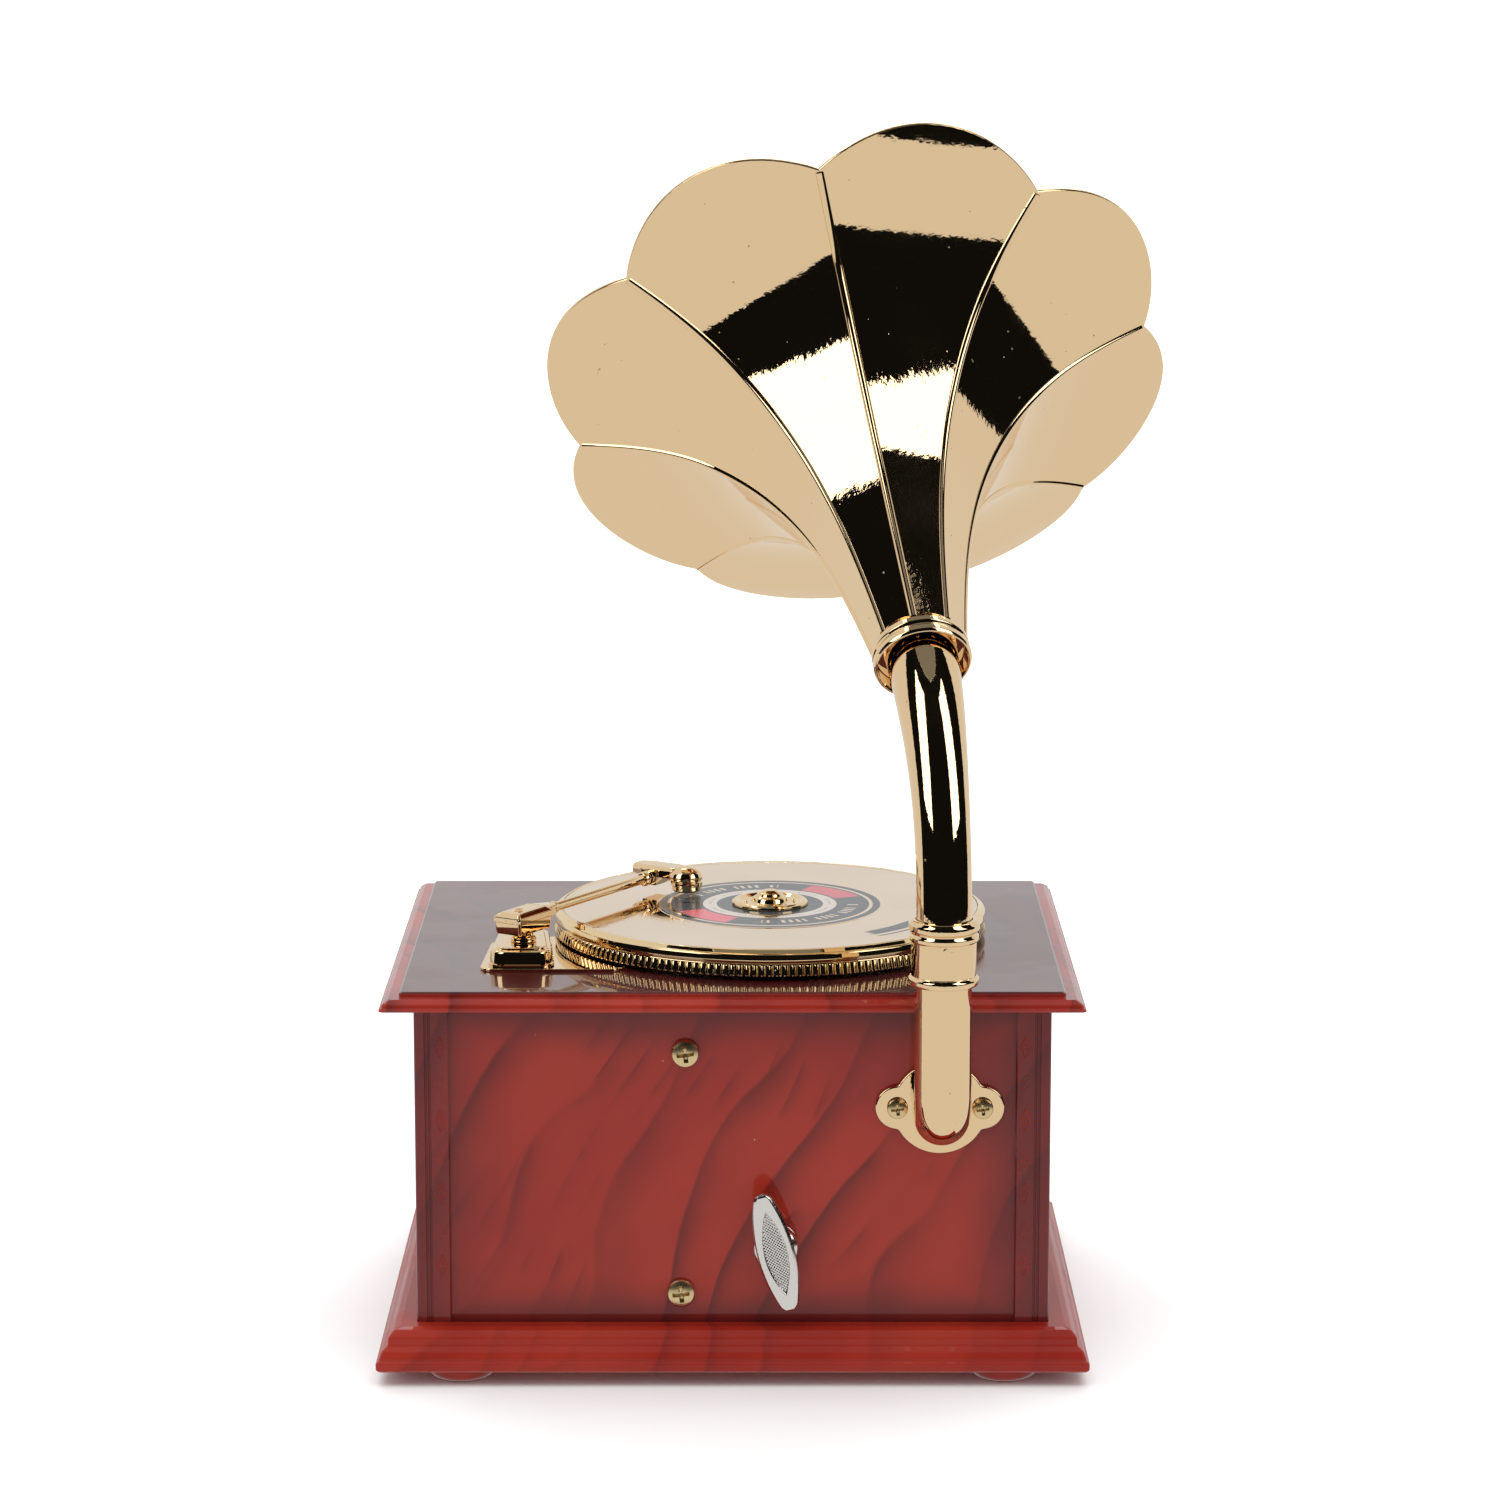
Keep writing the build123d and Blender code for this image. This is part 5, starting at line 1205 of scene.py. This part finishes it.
def from_axis(angle):
    """Direction square to the horn's axis, turned from its upward side."""
    return UP * math.cos(angle) + SIDE * math.sin(angle)


def wall_point(length, depth):
    """(radius, height) at a length along the middle of a gore, at a depth into its wall."""
    point = np.array([np.interp(length, reach, curve[:, i]) for i in (0, 1)])
    normal = np.array([np.interp(length, reach, inward[:, i]) for i in (0, 1)])
    return point + depth * normal


def petal_edge(share):
    """Plan radius at which a line up the gore, at a share of its half width, meets the scalloped rim."""
    notch = np.array([NOTCH_RADIUS * math.cos(HALF_GORE), NOTCH_RADIUS * math.sin(HALF_GORE)])
    centre = (PETAL_RADIUS**2 - notch @ notch) / (2 * (PETAL_RADIUS - notch[0]))
    radius = PETAL_RADIUS - centre
    a = 1 + (share * math.tan(HALF_GORE)) ** 2
    return (centre + math.sqrt(centre**2 - a * (centre**2 - radius**2))) / a


def horn_place(plan_radius, share, height, gore):
    """Point on a gore: plan_radius up its middle, share of its half width across, height on the axis."""
    middle = math.radians(HORN_ROLL) + HALF_GORE * (2 * gore + 1)
    across = share * plan_radius * math.tan(HALF_GORE)
    return HORN + from_axis(middle) * plan_radius + from_axis(middle + math.pi / 2) * across + AXIS * height


def horn_petals():
    """Bell of eight gores, each bent one way only, with a scalloped rim."""
    first = np.interp(GORE_START, curve[:, 1], reach)
    shape = Shape()
    lengths = np.linspace(0, 1, 91)
    shares = np.sin(np.linspace(-math.pi / 2, math.pi / 2, 33))
    for gore in range(GORES):
        skins = []
        for depth in (0.0, HORN_WALL):
            rows = []
            for share in shares:
                last = np.interp(petal_edge(share), curve[:, 0], reach)
                places = [wall_point(first + (last - first) * f, depth) for f in lengths]
                rows.append([horn_place(r, share, z, gore) for r, z in places])
            skins.append(np.array(rows))
        shape.grid(skins[0])
        shape.grid(skins[1][::-1])
        shape.grid([skins[0][:, -1], skins[1][:, -1]])
        shape.grid([skins[1][:, 0], skins[0][:, 0]])
    piece("horn_petals", shape, "gold", "horn", ("horn_bell",), sharp=16, flat=False)


def horn_trim():
    """Ribs along the seams and a rolled bead round the rim."""
    ribs, rim = Shape(), Shape()
    first = np.interp(GORE_START + 0.3, curve[:, 1], reach)
    last = np.interp(petal_edge(1.0), curve[:, 0], reach)
    lengths = np.linspace(first, last - 0.3, 100)
    for gore in range(GORES):
        seam = []
        for length in lengths:
            radius, height = wall_point(length, HORN_WALL / 2 - RIB_RISE)
            seam.append(horn_place(radius, 1.0, height, gore))
        ribs.tube(seam, np.linspace(0.72, 0.86, len(seam)), steps=20)
        edge = []
        for share in np.sin(np.linspace(-math.pi / 2, math.pi / 2, 61)):
            length = np.interp(petal_edge(share), curve[:, 0], reach)
            radius, height = wall_point(length, HORN_WALL / 2)
            edge.append(horn_place(radius - RIM_INSET, share, height, gore))
        rim.tube(edge, RIM_BEAD, steps=16)
    piece("horn_seam_ribs", ribs, "gold_smooth", "horn", sharp=70, flat=False)
    piece("horn_rim_bead", rim, "gold_smooth", "horn", sharp=70, flat=False)


def neck():
    """Bent tube from the collar, widening up to the horn's throat."""
    foot = np.array([*POST, COLLAR_HIGH[2] - 0.5])
    span = np.linalg.norm(HORN - foot)
    leave = np.array([0, 0, 1.25]) * span
    arrive = AXIS * 0.9 * span
    path = []
    for t in np.linspace(0, 1, 140):
        path.append(
            (2 * t**3 - 3 * t**2 + 1) * foot + (t**3 - 2 * t**2 + t) * leave
            + (3 * t**2 - 2 * t**3) * HORN + (t**3 - t**2) * arrive
        )
    widening = (NECK_RADIUS, NECK_RADIUS, 5.4, 5.9, 6.5, 6.9)
    radii = np.interp(np.linspace(0, 1, 140), np.linspace(0, 1, 6), widening)
    radii = np.convolve(np.pad(radii, 12, mode="edge"), np.ones(25) / 25, mode="valid")
    path = [foot - np.array([0, 0, d]) for d in (8.0, 4.0)] + path
    path += [HORN + AXIS * d for d in (0.2, 2.0, 5.0)]
    radii = [NECK_RADIUS, NECK_RADIUS, *radii, 6.9, 6.7, 6.7]
    shape = Shape()
    shape.tube(path, radii, steps=128)
    piece("neck_pipe", shape, "gold", "horn", ("neck_tube",), sharp=70, flat=False)


def throat_ring():
    """Flared cup with two beads where the horn meets its neck."""
    outline = rounded([
        (7.6, 3.4, 0), (8.6, 3.0, 0.3), (9.0, 2.0, 0.2), (9.35, 1.7, 0.3), (9.35, 0.6, 0.5),
        (8.9, 0.2, 0.15), (8.9, -0.1, 0.1), (9.4, -0.5, 0.5), (9.4, -1.7, 0.5), (9.1, -2.2, 0.2),
        (8.75, -2.3, 0.2), (8.6, -1.4, 0.2), (8.6, 1.4, 0.3), (7.0, 1.6, 0),
    ], turn_step=8)
    shape = Shape()
    shape.lathe(outline, HORN, AXIS, 128)
    piece("throat_beads", shape, "gold", "horn", ("horn_ring",), sharp=60)


horn_petals()
horn_trim()
neck()
throat_ring()


# ---- Pieces whose CAD shape is right: a better material only ----

FINISHES = {
    "steel": (
        "winding_arbor", "cylinder_arbor", "idler_post", "turntable_shaft", "ratchet_wheel", "ratchet_click",
        "governor_frame", "stop_lever",
    ),
    "brass": ("barrel_crown_gear", "cylinder_pinion", "pin_cylinder", "spring_barrel"),
    "spring_steel": ("mainspring",),
    "comb_steel": ("comb",),
    "screw_steel": ("cover_screws", "case_screws", "comb_screws"),
    "zinc": ("movement_bedplate", "comb_base", "cylinder_bearings"),
    "nylon": (
        "idler_gear", "turntable_gear", "cylinder_gear", "governor_wheel", "governor_fly", "shaft_bushing",
    ),
    "cover": ("bottom_cover",),
}

for finish, names in FINISHES.items():
    for name in names:
        slots = NODES[name].data.materials
        slots.clear()
        slots.append(MATERIALS[finish])


# ---- Studio ----

CARD_CENTRE = np.array([20.0, -5.0, 190.0])
CARD_DISTANCE = 620.0
SOFTBOX_NEARER = 40.0
SOFTBOX_GLOW = 2.6
LID_CARD_Z = 125
CAMERA_PLACE = (-6.3, -894.75, 277.8)
CAMERA_DOWN = 10.4
CAMERA_LENS = 110.5


def floor_paper():
    """Pale paper, clouded very faintly."""
    n = Nodes("pale_floor")
    pale = (0.93, 0.93, 0.93)
    n.set(Base_Color=n.mix(n.noise(scale=3, detail=2), pale, tuple(0.99 * c for c in pale)), Roughness=0.8)
    return n.material


def stage_surface(name, rows, material):
    """Floor or screen of the studio, not part of the object."""
    shape = Shape()
    shape.grid(rows)
    mesh = bpy.data.meshes.new(name)
    mesh.from_pydata([tuple(np.array(p) * MM) for p in shape.points], [], shape.faces)
    for face in mesh.polygons:
        face.use_smooth = True
    made = bpy.data.objects.new(name, mesh)
    SCENE.collection.objects.link(made)
    mesh.materials.append(material)
    return made


def sweep_floor():
    """Pale floor that curves up into a backdrop behind the object."""
    section = [(-3500, 0)] + [(y, 0) for y in (-1500, 0, 1500)]
    for step in range(13):
        a = math.radians(90 * step / 12)
        section.append((2500 + 1000 * math.sin(a), 1000 - 1000 * math.cos(a)))
    section.append((3500, 3500))
    rows = [[(x, y, z) for y, z in section] for x in (-4000, -1500, 0, 1500, 4000)]
    floor = stage_surface("studio_floor", rows, floor_paper())
    floor.visible_glossy = False


def light(name, place, aim, size, power):
    """Soft area light that points at a place, both in millimetres."""
    data = bpy.data.lights.new(name, "AREA")
    data.shape = "RECTANGLE"
    data.size, data.size_y = size[0] * MM, size[1] * MM
    data.energy = power
    made = bpy.data.objects.new(name, data)
    SCENE.collection.objects.link(made)
    made.location = Vector(place) * MM
    made.rotation_euler = (Vector(aim) - Vector(place)).to_track_quat("-Z", "Y").to_euler()


def card(name, rows, strength):
    """Glowing or dark card that only reflections see."""
    material = bpy.data.materials.new(name)
    material.use_nodes = True
    shader = material.node_tree.nodes["Principled BSDF"]
    shader.inputs["Base Color"].default_value = (0, 0, 0, 1)
    shader.inputs["Specular IOR Level"].default_value = 0.0
    shader.inputs["Emission Color"].default_value = (1, 1, 1, 1)
    shader.inputs["Emission Strength"].default_value = strength
    made = stage_surface(name, rows, material)
    made.visible_camera = False
    made.visible_shadow = False
    made.visible_diffuse = False


def round_card(name, azimuths, elevations, strength):
    """Curved card round the horn: the dark room, or the face of a softbox."""
    distance = CARD_DISTANCE - (SOFTBOX_NEARER if strength == SOFTBOX_GLOW else 0)
    rows = []
    for azimuth in np.radians(np.linspace(*azimuths, 37)):
        row = []
        for elevation in np.radians(np.linspace(*elevations, 25)):
            level = distance * math.cos(elevation)
            row.append(CARD_CENTRE + (
                level * math.sin(azimuth), -level * math.cos(azimuth), distance * math.sin(elevation)
            ))
        rows.append(row)
    card(name, rows, strength)


def studio():
    """White surroundings, soft lights and cards that only reflections see."""
    world = bpy.data.worlds.new("studio_white")
    SCENE.world = world
    world.use_nodes = True
    background = world.node_tree.nodes["Background"]
    background.inputs[0].default_value = (1.0, 1.0, 1.0, 1)
    background.inputs[1].default_value = 0.80
    sweep_floor()
    round_card("dark_room", (-92, 108), (-20.2, 64), 0.006)
    round_card("dim_ceiling", (-180, 180), (64, 90), 0.22)
    round_card("left_softbox", (-67.5, -38), (3, 50), SOFTBOX_GLOW)
    round_card("right_softbox", (39.5, 72), (3, 52.5), SOFTBOX_GLOW)
    card("lid_card", [[(x, y, LID_CARD_Z) for x in (-76, -28)] for y in (-5, 62)], 0.8)
    light("top_box", (0, -200, 1500), (0, 0, 0), (1600, 1600), 16)
    light("backdrop_box", (0, 1600, 2200), (0, 3000, 300), (3000, 1000), 60)


def camera():
    """Camera at the back of the case, a little above it and looking slightly down."""
    data = bpy.data.cameras.new("camera")
    data.lens = CAMERA_LENS
    data.sensor_width = 36.0
    data.clip_end = 50
    made = bpy.data.objects.new("camera", data)
    SCENE.collection.objects.link(made)
    made.location = Vector(CAMERA_PLACE) * MM
    made.rotation_euler = Euler((math.radians(90 - CAMERA_DOWN), 0, 0))
    SCENE.camera = made


studio()
camera()
SCENE.view_settings.view_transform = "Standard"
